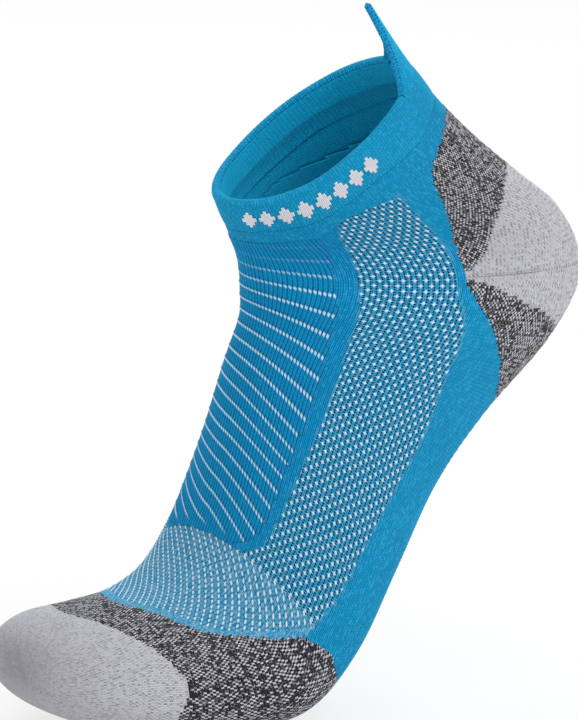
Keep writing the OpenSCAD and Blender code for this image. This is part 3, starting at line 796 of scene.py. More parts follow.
def rib_yarn(colours):
    """Ribs with painted shade in their furrows, a pale dash on each stitch leg where a float course runs, and
    painted shade in a dark dot under each dash.
    """
    graph = YarnGraph("rib_knit")
    wale, course = graph.chart()
    across = graph.math("ABSOLUTE", graph.math("SUBTRACT", graph.math("FRACT", wale), 0.5))
    rib = graph.ramp(across, 0.5, 0.15)
    height, leg_number = graph.stitch(wale, course, 0.6)
    # Painted shade: the furrows and the gaps between stitches take the shade blue, over the deep blue
    cover = graph.math("MULTIPLY", graph.ramp(height, 0.0, 0.7), rib)
    body = graph.mix(cover, colours.shade_blue, colours.deep_blue)
    body = graph.mix(graph.math("MULTIPLY", graph.ramp(leg_number, 0.5, 1.0), 0.25), body, colours.blue)
    leg = graph.math("FRACT", wale)
    wave = graph.math("FLOORED_MODULO", graph.math("ADD", course, graph.math("MULTIPLY", leg, 0.6)),
                      float(FLOAT_STEP))
    beside = graph.math("ABSOLUTE", graph.math("SUBTRACT", leg, 0.5))
    shown = graph.math("MULTIPLY", graph.pattern(), graph.ramp(beside, 0.45, 0.2))
    dash = graph.math("MULTIPLY", graph.ramp(wave, 0.0, 0.25), graph.ramp(wave, 1.15, 0.8))
    # Painted shade: a dark dot of the hole colour just under each float
    under = graph.math("MULTIPLY", graph.ramp(wave, 0.9, 1.3), graph.ramp(wave, 2.0, 1.5))
    apart = graph.math("MULTIPLY", graph.pattern(), graph.ramp(beside, 0.2, 0.4, 0.1, 0.6))
    body = graph.mix(graph.math("MULTIPLY", under, apart), body, colours.hole)
    floats = graph.math("MULTIPLY", graph.math("MULTIPLY", dash, shown), 0.75)
    body = graph.mix(floats, body, colours.float_blue)
    relief = graph.math("ADD", graph.math("MULTIPLY", height, 0.5), rib)
    return graph.finish(body, relief, YARN_BUMP)


def openwork_yarn(name, colours, slanted):
    """Blue knit with pale tucks, small holes painted dark as shade, painted shade in the stitch gaps and a
    painted sheen of pale legs; over the toes the tucks lie slanted.
    """
    graph = YarnGraph(name)
    wale, course = graph.chart()
    height, leg_number = graph.stitch(wale, course)
    # Painted shade: the gaps between stitches take the shade blue
    ground = graph.mix(graph.ramp(height, 0.0, 0.8), colours.shade_blue, colours.blue)
    # Painted sheen: random legs are paled towards the float yarn, three times as strongly over the toes
    paler = graph.math("MULTIPLY", leg_number, 0.3 if slanted else 0.1)
    ground = graph.mix(paler, ground, colours.float_blue)
    doubled = graph.math("MULTIPLY", course, 2.0 / LATTICE[1])
    odd = graph.math("MULTIPLY", graph.math("FLOORED_MODULO", graph.math("FLOOR", doubled), 2.0), 0.5)
    shifted = graph.math("ADD", graph.math("MULTIPLY", wale, 1.0 / LATTICE[0]), odd)
    right = graph.math("SUBTRACT", graph.math("FRACT", shifted), 0.5)
    up = graph.math("SUBTRACT", graph.math("FRACT", doubled), 0.5)
    if slanted:
        right = graph.math("ADD", right, graph.math("MULTIPLY", up, 0.3))
    x, y = graph.math("ABSOLUTE", right), graph.math("ABSOLUTE", up)
    power = 0.9 if slanted else 0.55
    wide, tall = (6.0, 1.6) if slanted else (2.8, 1.8)
    arms = graph.math("ADD", graph.math("POWER", graph.math("MULTIPLY", x, wide), power),
                      graph.math("POWER", graph.math("MULTIPLY", y, tall), power))
    shown = graph.ramp(graph.pattern(), 0.35, 0.55)
    tuck = graph.math("MULTIPLY", graph.ramp(arms, 1.15, 0.85), shown)
    hole_x = graph.math("MULTIPLY", graph.math("SUBTRACT", x, 0.27), 10.0)
    hole_y = graph.math("MULTIPLY", graph.math("SUBTRACT", y, 0.28), 5.5)
    far = graph.math("ADD", graph.math("MULTIPLY", hole_x, hole_x), graph.math("MULTIPLY", hole_y, hole_y))
    hole = graph.math("MULTIPLY", graph.ramp(far, 1.3, 0.35), shown)
    # Painted shade: the holes are shallow dents, painted with the dark hole colour, more weakly over the toes
    body = graph.mix(graph.math("MULTIPLY", hole, 0.4 if slanted else 1.0), ground, colours.hole)
    body = graph.mix(graph.math("MULTIPLY", tuck, 0.85), body, colours.float_blue)
    relief = graph.math("SUBTRACT", graph.math("ADD", height, tuck), graph.math("MULTIPLY", hole, 1.5))
    return graph.finish(body, relief, YARN_BUMP)


def marl_yarn(name, dark, light, balance, spread, line):
    """Two yarns knitted together: each leg of a stitch shows more of one or of the other. The gaps between
    stitches, the furrows beside the heel pocket's ribs and the gore's eyelets are darkened as painted shade.
    """
    graph = YarnGraph(name, roughness=0.9, sheen=0.3)
    wale, course = graph.chart()
    height, leg_number = graph.stitch(wale, course)
    twist = graph.math("SUBTRACT", graph.noise(2600, 1.0, 0.5), 0.5)
    leg_place = graph.math("FLOOR", graph.math("MULTIPLY", wale, 2.0))
    row = graph.math("FLOOR", graph.math("ADD", course, 0.3))
    turn = graph.math("FLOORED_MODULO", graph.math("ADD", leg_place, row), 2.0)
    even = graph.math("ADD", graph.math("MULTIPLY", leg_number, 0.6), graph.math("MULTIPLY", turn, 0.4))
    mixed = graph.math("ADD", even, graph.math("MULTIPLY", twist, 0.5))
    share = graph.ramp(mixed, balance - spread, balance + spread)
    body = graph.mix(share, dark, light)
    # Painted shade: the gaps between stitches are darkened towards the dark yarn
    body = graph.mix(graph.math("MULTIPLY", graph.ramp(height, 0.4, 0.0), 0.5), body, dark)
    leg = graph.math("ABSOLUTE", graph.math("SUBTRACT", graph.math("FRACT", wale), 0.5))
    # Painted shade: the furrows beside the heel pocket's ribs, as strong as line sets
    furrow = graph.math("MULTIPLY", graph.ramp(leg, 0.34, 0.46), graph.ramp(graph.pattern(), 0.0, 1.0))
    body = graph.mix(graph.math("MULTIPLY", furrow, line), body, dark)
    # Painted shade: the gore's eyelets, near black
    eyelet = graph.math("MULTIPLY", graph.ramp(graph.pattern(), -0.3, -0.8), graph.ramp(leg, 0.2, 0.4))
    body = graph.mix(graph.math("MULTIPLY", eyelet, min(1.0, line * 2)), body, (0.02, 0.02, 0.03))
    return graph.finish(body, height, MARL_BUMP)


def terry_yarn(name, dark, light):
    """Soft loops that cover the lining, darker where they are low: painted shade in the hollows between them.
    """
    graph = YarnGraph(name, roughness=0.95, sheen=0.5)
    loops = graph.noise(1100, 2.0, 0.6)
    # Painted shade: the low places of the loops are darker
    body = graph.mix(graph.ramp(loops, 0.3, 0.65), dark, light)
    return graph.finish(body, graph.math("MULTIPLY", loops, 2.0), 0.5 * MM)


def strand_yarn(name, main, shade):
    """A twisted thread, with painted shade in the grooves where its plies meet."""
    graph = YarnGraph(name, roughness=0.8, sheen=0.2)
    around, along = graph.chart()
    turn = graph.math("FRACT", graph.math("ADD", along, around))
    ply = graph.ramp(graph.math("ABSOLUTE", graph.math("SUBTRACT", turn, 0.5)), 0.5, 0.2)
    # Painted shade: the grooves between the plies take the shade colour
    body = graph.mix(ply, shade, main)
    return graph.finish(body, ply, 0.1 * MM)


@lru_cache(maxsize=1)
def yarns():
    """Every material, by the name of its slot in the record."""
    c = bpy.context.scene.sock_colours
    return {
        "blue_knit": blue_yarn("blue_knit", tuple(c.blue), tuple(c.shade_blue)),
        # Painted shade: the rib's borders take the plain blue painted darker
        "deep_blue_knit": blue_yarn("deep_blue_knit", tuple(c.deep_blue), tuple(c.shade_blue), furrow_shade=0.5),
        # Painted light: the cuff and the tab take the plain blue painted brighter
        "cuff_knit": blue_yarn("cuff_knit", tuple(c.bright_blue), tuple(c.shade_blue), furrow_shade=0.65),
        "tab_knit": blue_yarn("tab_knit", tuple(c.bright_blue), tuple(c.shade_blue), furrow_shade=0.45),
        # Painted light: the inside knit is the blue painted brighter, with the plain blue in its gaps as
        # painted shade
        "lit_inside_knit": blue_yarn("lit_inside_knit", tuple(c.inside), tuple(c.blue), light=0.15, furrow_shade=0.6),
        "overlock": strand_yarn("overlock", tuple(c.deep_blue), tuple(c.shade_blue)),
        "rib_knit": rib_yarn(c),
        "mesh_knit": openwork_yarn("mesh_knit", c, slanted=False),
        "toe_mesh_knit": openwork_yarn("toe_mesh_knit", c, slanted=True),
        "dark_marl": marl_yarn("dark_marl", tuple(c.black), tuple(c.silver), 0.66, 0.16, 0.0),
        "light_marl": marl_yarn("light_marl", tuple(c.ash), tuple(c.silver), 0.2, 0.4, 0.3),
        "white_yarn": strand_yarn("white_yarn", tuple(c.white), tuple(c.silver)),
        "elastic_yarn": strand_yarn("elastic_yarn", tuple(c.elastic), tuple(c.ash)),
        "seam_yarn": strand_yarn("seam_yarn", tuple(c.silver), tuple(c.ash)),
        "light_terry": terry_yarn("light_terry", tuple(c.ash), tuple(c.silver)),
        "dark_terry": terry_yarn("dark_terry", tuple(c.black), tuple(c.ash)),
    }


# ---------------------------------------------------------------- pieces

# Each chart zone's piece, the CAD node it stands for, its slot, and the flat size of its
# knit off the foot: width, length and area, in metres
ZONES = {
    "toe": ("toe_knit", "toe_pocket", "light_marl", (0.16, 0.045), 0.0043),
    "ball": ("ball_knit", "ball_pad", "dark_marl", (0.2, 0.04), None),
    "toe_mesh": ("toe_mesh_knit", "toe_mesh", "mesh_knit", (0.085, 0.04), 0.0024),
    "rib": ("instep_rib_knit", "instep_rib", "rib_knit", (0.07, 0.085), 0.0046),
    "border_near": ("rib_border_knit_near", "rib_border_near", "deep_blue_knit", (0.012, 0.085), 0.0005),
    "border_far": ("rib_border_knit_far", "rib_border_far", "deep_blue_knit", (0.012, 0.085), 0.0006),
    "mesh_near": ("mesh_knit_near", "mesh_near", "mesh_knit", (0.05, 0.11), 0.0038),
    "mesh_far": ("mesh_knit_far", "mesh_far", "mesh_knit", (0.05, 0.11), 0.005),
    "plain_near": ("side_knit_near", "side_plain_near", "blue_knit", (0.06, 0.13), 0.0025),
    "plain_far": ("side_knit_far", "side_plain_far", "blue_knit", (0.06, 0.13), 0.0031),
    "arch": ("arch_knit", "arch_sole", "blue_knit", (0.085, 0.08), 0.0058),
    "heel_under": ("heel_under_knit", "heel_under", "dark_marl", (0.09, 0.03), 0.0024),
    "pocket": ("heel_pocket_knit", "heel_pocket", "light_marl", (0.1, 0.05), 0.004),
    "achilles": ("achilles_knit", "achilles_pad", "dark_marl", (0.08, 0.045), 0.0025),
    "band": ("ankle_band_knit", "ankle_band", "blue_knit", (0.17, 0.02), 0.0015),
}


def settle(piece, node):
    """Hides the CAD node that a piece stands for, and puts the piece on the sock."""
    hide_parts(node)
    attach(piece, "sock")


class KnitZones:
    """Knits the chart zones that an operator names."""
    bl_options = {"REGISTER", "UNDO"}
    zones = ()

    def execute(self, context):
        for zone in self.zones:
            name, node, slot, flat, area = ZONES[zone]
            materials = [yarns()["toe_mesh_knit" if zone == "toe_mesh" else slot]]
            # Painted light: the inner faces of the blue zones take the inside knit, painted brighter than
            # their yarn
            if "marl" not in slot:
                materials.append(yarns()["lit_inside_knit"])
            piece = zone_piece(name, zone, context.scene.sock_sizes.knit, materials)
            settle(piece, node)
        return {"FINISHED"}


class SOCK_OT_knit_toe(KnitZones, bpy.types.Operator):
    """Knit the closed toe pocket in pale marl"""
    bl_idname = "sock.knit_toe"
    bl_label = "Knit Toe"
    zones = ("toe",)


class SOCK_OT_knit_ball(KnitZones, bpy.types.Operator):
    """Knit the dark marl band round the ball of the foot"""
    bl_idname = "sock.knit_ball"
    bl_label = "Knit Ball Band"
    zones = ("ball",)


class SOCK_OT_knit_openwork(KnitZones, bpy.types.Operator):
    """Knit the openwork over the toes and on both sides"""
    bl_idname = "sock.knit_openwork"
    bl_label = "Knit Openwork"
    zones = ("toe_mesh", "mesh_near", "mesh_far")


class SOCK_OT_knit_instep(KnitZones, bpy.types.Operator):
    """Knit the ribbed instep panel and its plain borders"""
    bl_idname = "sock.knit_instep"
    bl_label = "Knit Instep"
    zones = ("rib", "border_near", "border_far")


class SOCK_OT_knit_sides(KnitZones, bpy.types.Operator):
    """Knit the plain sides, the arch and the ankle band"""
    bl_idname = "sock.knit_sides"
    bl_label = "Knit Sides and Arch"
    zones = ("plain_near", "plain_far", "arch", "band")


class SOCK_OT_knit_heel(KnitZones, bpy.types.Operator):
    """Knit the heel: its sole, its pocket and the Achilles pad"""
    bl_idname = "sock.knit_heel"
    bl_label = "Knit Heel"
    zones = ("heel_under", "pocket", "achilles")


def cuff_place(share, angle):
    """The station at a share of the cuff's height."""
    low, high = ring_at(CUFF_EDGE, angle), ring_at(RIM_EDGE, angle)
    return low * (1 - share) + high * share


def cuff_swell(sizes, share):
    """The turned cuff's roundness, fullest halfway up."""
    return sizes.bulge * np.clip(4 * share * (1 - share), 0, 1) ** 0.7


def ring_wales(sizes):
    """The wales of a whole ring, at each mesh point."""
    return np.arange(sizes.wales * ACROSS)[None, :] / ACROSS


class SOCK_OT_knit_cuff(bpy.types.Operator):
    """Knit the two layers of the turned cuff"""
    bl_idname = "sock.knit_cuff"
    bl_label = "Knit Cuff"
    bl_options = {"REGISTER", "UNDO"}

    def execute(self, context):
        sizes = context.scene.sock_sizes
        courses = CUFF_COURSES
        share = (np.arange(courses * ALONG + 1) / courses / ALONG)[:, None]
        wale = ring_wales(sizes)
        angle = wale * 360 / sizes.wales
        station = cuff_place(share, angle)
        course = share * courses
        relief = sizes.stitch * plain_relief(wale, course)
        outer = cloth(station, angle, relief + cuff_swell(sizes, share))
        inner = cloth(station, angle, cuff_swell(sizes, share) * 0.5 - sizes.cuff)
        piece = wall_piece("cuff_outer_knit", outer, inner, wale, course, yarns()["cuff_knit"], wrap=True)
        settle(piece, "cuff_outer")
        deep = sizes.cuff + sizes.elastic + sizes.gap
        foot = np.clip(share / 0.45, 0, 1) ** 2
        shallow = sizes.knit + sizes.gap
        outer = cloth(station, angle, 0 * relief - shallow - (deep - shallow) * foot)
        thin = shallow + CUFF_HEM
        inner = cloth(station, angle, -thin - (deep + sizes.cuff - thin) * foot - relief)
        # Painted light: the cuff's inner layer takes the inside knit, painted brighter than its yarn
        piece = wall_piece("cuff_inner_knit", outer, inner, wale, course, yarns()["lit_inside_knit"], wrap=True)
        settle(piece, "cuff_inner")
        return {"FINISHED"}


class SOCK_OT_roll_cuff_fold(bpy.types.Operator):
    """Roll the fold that closes the cuff's two layers along the rim"""
    bl_idname = "sock.roll_cuff_fold"
    bl_label = "Roll Cuff Fold"
    bl_options = {"REGISTER", "UNDO"}

    def execute(self, context):
        sizes = context.scene.sock_sizes
        radius = sizes.cuff + (sizes.elastic + sizes.gap) / 2
        # The fold runs on between the tab's layers
        first, last = TAB_TO - 360 - FOLD_LAP, TAB_FROM + FOLD_LAP
        steps = int((last - first) / 360 * sizes.wales) * ACROSS
        wale = (first * sizes.wales / 360 + np.arange(steps + 1) / ACROSS)[None, :]
        angle = wale * 360 / sizes.wales
        rim = ring_at(RIM_EDGE, angle)
        middle = cloth(rim, angle, -radius)
        out = cloth(rim, angle, 0) - middle
        out /= np.linalg.norm(out, axis=-1, keepdims=True)
        up = cloth(rim + 0.1, angle, -radius) - middle
        up -= (up * out).sum(-1, keepdims=True) * out
        up /= np.linalg.norm(up, axis=-1, keepdims=True)
        turn = np.linspace(0, np.pi, 17)[:, None]
        course = CUFF_COURSES + turn * 1.5
        relief = sizes.stitch * plain_relief(wale, course)

        def layer(size):
            size = np.broadcast_to(size, relief.shape)[..., None]
            return middle + size * (np.cos(turn)[..., None] * out + np.sin(turn)[..., None] * up)

        piece = wall_piece("cuff_fold_knit", layer(radius + relief), layer(radius - sizes.cuff),
                           wale, course, yarns()["cuff_knit"])
        settle(piece, "cuff_fold")
        return {"FINISHED"}


class SOCK_OT_lay_elastic(bpy.types.Operator):
    """Lay the covered elastic threads between the cuff's layers"""
    bl_idname = "sock.lay_elastic"
    bl_label = "Lay Elastic"
    bl_options = {"REGISTER", "UNDO"}

    def execute(self, context):
        sizes = context.scene.sock_sizes
        deep = sizes.cuff + sizes.gap / 2 + sizes.elastic / 2
        angle = np.arange(0, 360, 1.5)
        wrap = 1 + 0.12 * np.cos(np.arange(len(angle)) * np.pi)
        rings = []
        for row in range(sizes.elastic_rows):
            share = (row + 0.5) / sizes.elastic_rows
            path = cloth(cuff_place(share, angle), angle, -deep)
            rings.append(tube(path, sizes.elastic / 2 * wrap * 0.85, loop=True))
        piece = tubes_piece("cuff_elastic_threads", rings, yarns()["elastic_yarn"], loop=True)
        settle(piece, "cuff_elastic")
        return {"FINISHED"}


class SOCK_OT_knit_motif(bpy.types.Operator):
    """Knit the row of plain diamonds into the cuff, stitch by stitch"""
    bl_idname = "sock.knit_motif"
    bl_label = "Knit Motif"
    bl_options = {"REGISTER", "UNDO"}

    def execute(self, context):
        sizes = context.scene.sock_sizes
        pitch = 360 / sizes.wales
        legs = []
        for k in range(MOTIF_COUNT):
            middle = round(MOTIF_FIRST / pitch) + k * round(MOTIF_STEP / pitch)
            for wale in range(-2, 3):
                for course in range(-6, 7):
                    if abs(wale) / 2.6 + abs(course) / 6.6 > 1:
                        continue
                    for lean in (-1, 1):
                        run = np.linspace(-0.62, 0.62, 5)
                        angle = (middle + wale + 0.5 + lean * (0.24 + run * 0.12)) * pitch
                        share = MOTIF_PLACE + (course + run) / CUFF_COURSES
                        lift = cuff_swell(sizes, share) + sizes.stitch + 0.1 * MM * (1 - run ** 2)
                        path = cloth(cuff_place(share, angle), angle, lift)
                        radius = 0.27 * MM * np.sqrt(np.clip(1.02 - (run / 0.62) ** 2, 0.12, 1))
                        legs.append(tube(path, radius, sides=6))
        piece = tubes_piece("cuff_motif_stitches", legs, yarns()["white_yarn"])
        settle(piece, "cuff_motif")
        return {"FINISHED"}


def blend_tab(piece, node):
    """Hides the CAD node that a piece of the tab stands for, and bakes the piece's transform; the fold's axis
    and the tip's rise are worked out, but nothing is bent.
    """
    fold = next(j for j in frame["joints"] if j["name"] == "tab_fold")
    start = Vector(fold["pos_m"])
    axis = Vector(fold["axis"]).normalized()
    tip = Vector(cloth(np.array(TAB_TIP_STATION), np.array(float(TAB_TIP)), 0.0))
    rise = tip - start
    rise -= rise.dot(axis) * axis
    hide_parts(node)
    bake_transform(piece)


class SOCK_OT_knit_tab(bpy.types.Operator):
    """Knit the heel tab's two layers"""
    bl_idname = "sock.knit_tab"
    bl_label = "Knit Heel Tab"
    bl_options = {"REGISTER", "UNDO"}

    def execute(self, context):
        sizes = context.scene.sock_sizes
        span = int((TAB_TO - TAB_FROM) / 360 * sizes.wales) * ACROSS
        wale = (TAB_FROM / 360 * sizes.wales + np.arange(span + 1) / ACROSS)[None, :]
        angle = np.linspace(TAB_FROM, TAB_TO, span + 1)[None, :]
        courses = TAB_COURSES
        share = (np.arange(courses * ALONG + 1) / courses / ALONG)[:, None]
        station = ring_at(RIM_EDGE, angle) + share * tab_top(angle)
        course = (station - 15) * 15
        relief = sizes.stitch * plain_relief(wale, course)
        outer = cloth(station, angle, relief)
        inner = cloth(station, angle, 0 * relief - sizes.tab)
        piece = wall_piece("tab_outer_knit", outer, inner, wale, course, yarns()["tab_knit"])
        blend_tab(piece, "tab_outer")
        deep = sizes.tab + sizes.gap
        outer = cloth(station, angle, 0 * relief - deep)
        inner = cloth(station, angle, -deep - sizes.tab - relief)
        piece = wall_piece("tab_inner_knit", outer, inner, wale, course, yarns()["tab_knit"])
        blend_tab(piece, "tab_inner")
        return {"FINISHED"}


class SOCK_OT_overlock_tab(bpy.types.Operator):
    """Overlock the tab's edge: a soft core with thread wound over it"""
    bl_idname = "sock.overlock_tab"
    bl_label = "Overlock Tab Edge"
    bl_options = {"REGISTER", "UNDO"}

    def execute(self, context):
        sizes = context.scene.sock_sizes
        deep = sizes.tab + sizes.gap / 2
        angle = np.linspace(TAB_FROM + EDGE_STOP, TAB_TO - EDGE_STOP, 720)
        end = np.clip(np.minimum(angle - TAB_FROM, TAB_TO - angle) / 6, 0, 1)
        path = cloth(ring_at(RIM_EDGE, angle) + tab_top(angle) - 0.1 + 0.12 * end, angle, -deep)
        core = tube(path[::6], 0.5 * MM, sides=10)
        turns = np.linalg.norm(np.diff(path, axis=0), axis=1).sum() / (1.1 * MM)
        winding = twisted(path, 0.5 * MM, 0.2 * MM, turns)
        piece = tubes_piece("tab_overlock", [core, winding], yarns()["overlock"])
        blend_tab(piece, "tab_edge")
        return {"FINISHED"}


class SOCK_OT_link_toe(bpy.types.Operator):
    """Link the toe with a two-ply seam on its inside"""
    bl_idname = "sock.link_toe"
    bl_label = "Link Toe Seam"
    bl_options = {"REGISTER", "UNDO"}

    def execute(self, context):
        sizes = context.scene.sock_sizes
        deep = sizes.knit + sizes.gap / 2 + 0.6 * MM
        angle = np.linspace(-90, 90, 240)
        path = cloth(np.full_like(angle, SEAM_STATION), angle, -deep)
        plies = [twisted(path, 0.26 * MM, 0.3 * MM, 30, phase) for phase in (0.0, 0.5)]
        piece = tubes_piece("toe_seam_thread", plies, yarns()["seam_yarn"])
        settle(piece, "toe_seam")
        return {"FINISHED"}


class SOCK_OT_mark_gore(bpy.types.Operator):
    """Mark the heel gore's seam with one small loop for each wale"""
    bl_idname = "sock.mark_gore"
    bl_label = "Mark Heel Gore"
    bl_options = {"REGISTER", "UNDO"}

    def execute(self, context):
        sizes = context.scene.sock_sizes
        pitch = 360 / sizes.wales
        loops = []
        for side in (1, -1):
            for k in range(GORE_LOOPS):
                run = np.linspace(0, 1, 7)
                angle = side * (GORE_FIRST + (k + 0.15 + run * 0.7) * pitch)
                station = GORE_STATION + 0.035 * np.sin(run * np.pi) - 0.01
                path = cloth(station, angle, sizes.stitch * 0.6 + 0.12 * MM * np.sin(run * np.pi))
                loops.append(tube(path, 0.2 * MM, sides=6))
        piece = tubes_piece("heel_gore_loops", loops, yarns()["seam_yarn"])
        settle(piece, "heel_gore")
        return {"FINISHED"}


class SOCK_OT_line_terry(bpy.types.Operator):
    """Line the toe, the ball, the heel and the Achilles tendon with terry loops"""
    bl_idname = "sock.line_terry"
    bl_label = "Line With Terry"
    bl_options = {"REGISTER", "UNDO"}

    def lining(self, name, node, slot, low, high, first, last):
        """One lining between two round borders, from one angle to another."""
        sizes = bpy.context.scene.sock_sizes
        wrap = last - first == 360
        span = int((last - first) / 360 * sizes.wales)
        wale = (first / 360 * sizes.wales + np.arange(span * 2 + (0 if wrap else 1)) / 2)[None, :]
        angle = wale * 360 / sizes.wales
        share = np.linspace(0.01, 0.99, LINING_ROWS)[:, None]
        bottom, top = low(angle), high(angle)
        station = bottom * (1 - share) + np.maximum(top, bottom + 0.05) * share
        course = share * LINING_COURSES
        deep = sizes.knit + sizes.gap
        loops = TERRY_LOOP * np.abs(np.sin(np.pi * wale) * np.cos(np.pi * course))
        outer = cloth(station, angle, 0 * loops - deep)
        inner = cloth(station, angle, loops - deep - sizes.terry)
        piece = wall_piece(name, outer, inner, wale, course, yarns()[slot], wrap=wrap)
        settle(piece, node)

    def execute(self, context):
        heel = smooth(HEEL_EDGE, np.linspace(4, 8, 100))
        self.lining("toe_terry_lining", "toe_terry", "light_terry",
                    lambda a: LINING_START + 0 * a, lambda a: ring_at(TOE_EDGE, a), 0, 360)
        self.lining("ball_terry_lining", "ball_terry", "dark_terry",
                    lambda a: ring_at(TOE_EDGE, a), lambda a: ring_at(BALL_EDGE, a),
                    LINING_FROM, 360 - LINING_FROM)
        self.lining("heel_terry_lining", "heel_terry", "light_terry",
                    lambda a: ring_at(POCKET_LOW, a), lambda a: ring_at(POCKET_TOP, a),
                    GORE_FIRST, 360 - GORE_FIRST)
        self.lining("achilles_terry_lining", "achilles_terry", "dark_terry",
                    lambda a: ring_at(POCKET_TOP, a),
                    lambda a: np.minimum(np.interp(folded(a), heel[:, 1], heel[:, 0]), ring_at(BAND_EDGE, a)),
                    GORE_FIRST, 360 - GORE_FIRST)
        return {"FINISHED"}


# ---------------------------------------------------------------- stage

CAMERA_AZIMUTH = -35
CAMERA_ELEVATION = 11
CAMERA_DISTANCE = 1.5
CAMERA_LENS = 240
# What the camera looks at, from the middle of the ground under the ball of the foot
CAMERA_TARGET = np.array([23, 0, 108]) * MM


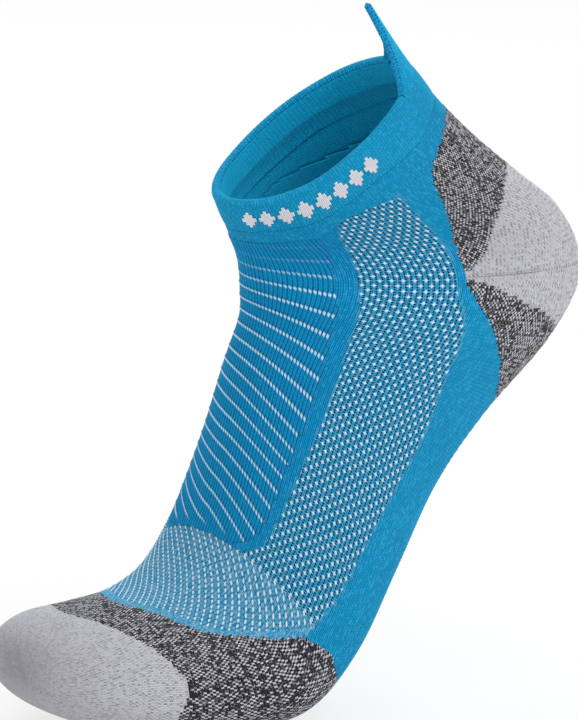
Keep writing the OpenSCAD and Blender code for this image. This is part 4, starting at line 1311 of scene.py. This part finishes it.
class SOCK_OT_set_stage(bpy.types.Operator):
    """Add a plain pale floor, soft studio light and the camera"""
    bl_idname = "sock.set_stage"
    bl_label = "Set Stage"
    bl_options = {"REGISTER", "UNDO"}

    def camera(self):
        azimuth, elevation = math.radians(CAMERA_AZIMUTH), math.radians(CAMERA_ELEVATION)
        back = Vector((math.sin(azimuth) * math.cos(elevation),
                       -math.cos(azimuth) * math.cos(elevation), math.sin(elevation)))
        target = Vector(CAMERA_TARGET - ORIGIN * MM)
        data = bpy.data.cameras.new("camera")
        data.lens = CAMERA_LENS
        data.sensor_width = 36
        data.clip_start, data.clip_end = 0.1, 20
        camera = bpy.data.objects.new("camera", data)
        camera.location = target + back * CAMERA_DISTANCE
        camera.rotation_euler = (-back).to_track_quat("-Z", "Y").to_euler()
        bpy.context.scene.collection.objects.link(camera)
        bpy.context.scene.camera = camera

    def lamp(self, name, place, size, power):
        data = bpy.data.lights.new(name, "AREA")
        data.shape, data.size, data.energy = "DISK", size, power
        lamp = bpy.data.objects.new(name, data)
        lamp.location = place
        lamp.rotation_euler = (-Vector(place)).to_track_quat("-Z", "Y").to_euler()
        bpy.context.scene.collection.objects.link(lamp)

    def seen(self, tree):
        """1 for the rays that show the background, and 0 for the rays that light the sock."""
        path = tree.nodes.new("ShaderNodeLightPath")
        either = tree.nodes.new("ShaderNodeMath")
        either.operation = "MAXIMUM"
        tree.links.new(path.outputs["Is Camera Ray"], either.inputs[0])
        tree.links.new(path.outputs["Is Glossy Ray"], either.inputs[1])
        both = tree.nodes.new("ShaderNodeMath")
        both.operation = "MAXIMUM"
        tree.links.new(either.outputs[0], both.inputs[0])
        tree.links.new(path.outputs["Is Transmission Ray"], both.inputs[1])
        return both.outputs[0]

    def world(self):
        world = bpy.data.worlds.new("studio")
        world.use_nodes = True
        tree = world.node_tree
        light = tree.nodes["Background"]
        light.inputs["Color"].default_value = (1, 1, 1, 1)
        light.inputs["Strength"].default_value = 0.7
        seen = tree.nodes.new("ShaderNodeBackground")
        seen.inputs["Color"].default_value = (1, 1, 1, 1)
        seen.inputs["Strength"].default_value = 1.0
        choice = tree.nodes.new("ShaderNodeMixShader")
        tree.links.new(self.seen(tree), choice.inputs[0])
        tree.links.new(light.outputs[0], choice.inputs[1])
        tree.links.new(seen.outputs[0], choice.inputs[2])
        tree.links.new(choice.outputs[0], tree.nodes["World Output"].inputs["Surface"])
        bpy.context.scene.world = world

    def floor(self):
        low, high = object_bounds()
        bpy.ops.mesh.primitive_circle_add(vertices=96, radius=3, fill_type="NGON",
                                          location=((low.x + high.x) / 2, 0, low.z - 0.2 * MM))
        floor = bpy.context.object
        floor.name = "floor"
        material = bpy.data.materials.new("floor")
        material.use_nodes = True
        shader = material.node_tree.nodes["Principled BSDF"]
        shader.inputs["Base Color"].default_value = (0.93, 0.93, 0.93, 1)
        shader.inputs["Roughness"].default_value = 0.9
        tree = material.node_tree
        white = tree.nodes.new("ShaderNodeEmission")
        white.inputs["Color"].default_value = (1, 1, 1, 1)
        white.inputs["Strength"].default_value = 1.0
        share = tree.nodes.new("ShaderNodeMath")
        share.operation = "MULTIPLY"
        share.inputs[1].default_value = FLOOR_WHITE
        tree.links.new(self.seen(tree), share.inputs[0])
        choice = tree.nodes.new("ShaderNodeMixShader")
        tree.links.new(share.outputs[0], choice.inputs[0])
        tree.links.new(shader.outputs[0], choice.inputs[1])
        tree.links.new(white.outputs[0], choice.inputs[2])
        tree.links.new(choice.outputs[0], tree.nodes["Material Output"].inputs["Surface"])
        floor.data.materials.append(material)
        floor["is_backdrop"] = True

    def execute(self, context):
        self.camera()
        self.world()
        self.lamp("key", (0.6, -1.5, 1.7), 1.6, 22)
        self.lamp("fill", (-1.6, -1.0, 0.9), 1.6, 6)
        self.lamp("back", (0.5, 1.5, 1.5), 1.4, 12)
        self.floor()
        context.scene.view_settings.view_transform = "Standard"
        return {"FINISHED"}


# ---------------------------------------------------------------- add-on

OPERATORS = (
    SOCK_OT_knit_toe, SOCK_OT_knit_ball, SOCK_OT_knit_openwork, SOCK_OT_knit_instep,
    SOCK_OT_knit_sides, SOCK_OT_knit_heel, SOCK_OT_knit_cuff, SOCK_OT_roll_cuff_fold,
    SOCK_OT_lay_elastic, SOCK_OT_knit_motif, SOCK_OT_knit_tab, SOCK_OT_overlock_tab,
    SOCK_OT_link_toe, SOCK_OT_mark_gore, SOCK_OT_line_terry, SOCK_OT_set_stage,
)


class SOCK_PT_panel(bpy.types.Panel):
    """The sock's pieces, in the order in which they are knitted"""
    bl_idname = "SOCK_PT_panel"
    bl_label = "Running Ankle Sock"
    bl_space_type = "VIEW_3D"
    bl_region_type = "UI"
    bl_category = "Sock"

    def draw(self, context):
        for settings in (context.scene.sock_sizes, context.scene.sock_colours):
            for name in settings.__annotations__:
                self.layout.prop(settings, name)
        for operator in OPERATORS:
            self.layout.operator(operator.bl_idname)


CLASSES = (SockSizes, SockColours, *OPERATORS, SOCK_PT_panel)


def register():
    for each in CLASSES:
        bpy.utils.register_class(each)
    bpy.types.Scene.sock_sizes = bpy.props.PointerProperty(type=SockSizes)
    bpy.types.Scene.sock_colours = bpy.props.PointerProperty(type=SockColours)


def unregister():
    del bpy.types.Scene.sock_colours
    del bpy.types.Scene.sock_sizes
    for each in reversed(CLASSES):
        bpy.utils.unregister_class(each)


def main():
    register()
    bpy.ops.object.select_all(action="DESELECT")
    for operator in OPERATORS:
        group, name = operator.bl_idname.split(".")
        getattr(getattr(bpy.ops, group), name)()
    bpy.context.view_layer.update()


if __name__ == "__main__":
    main()
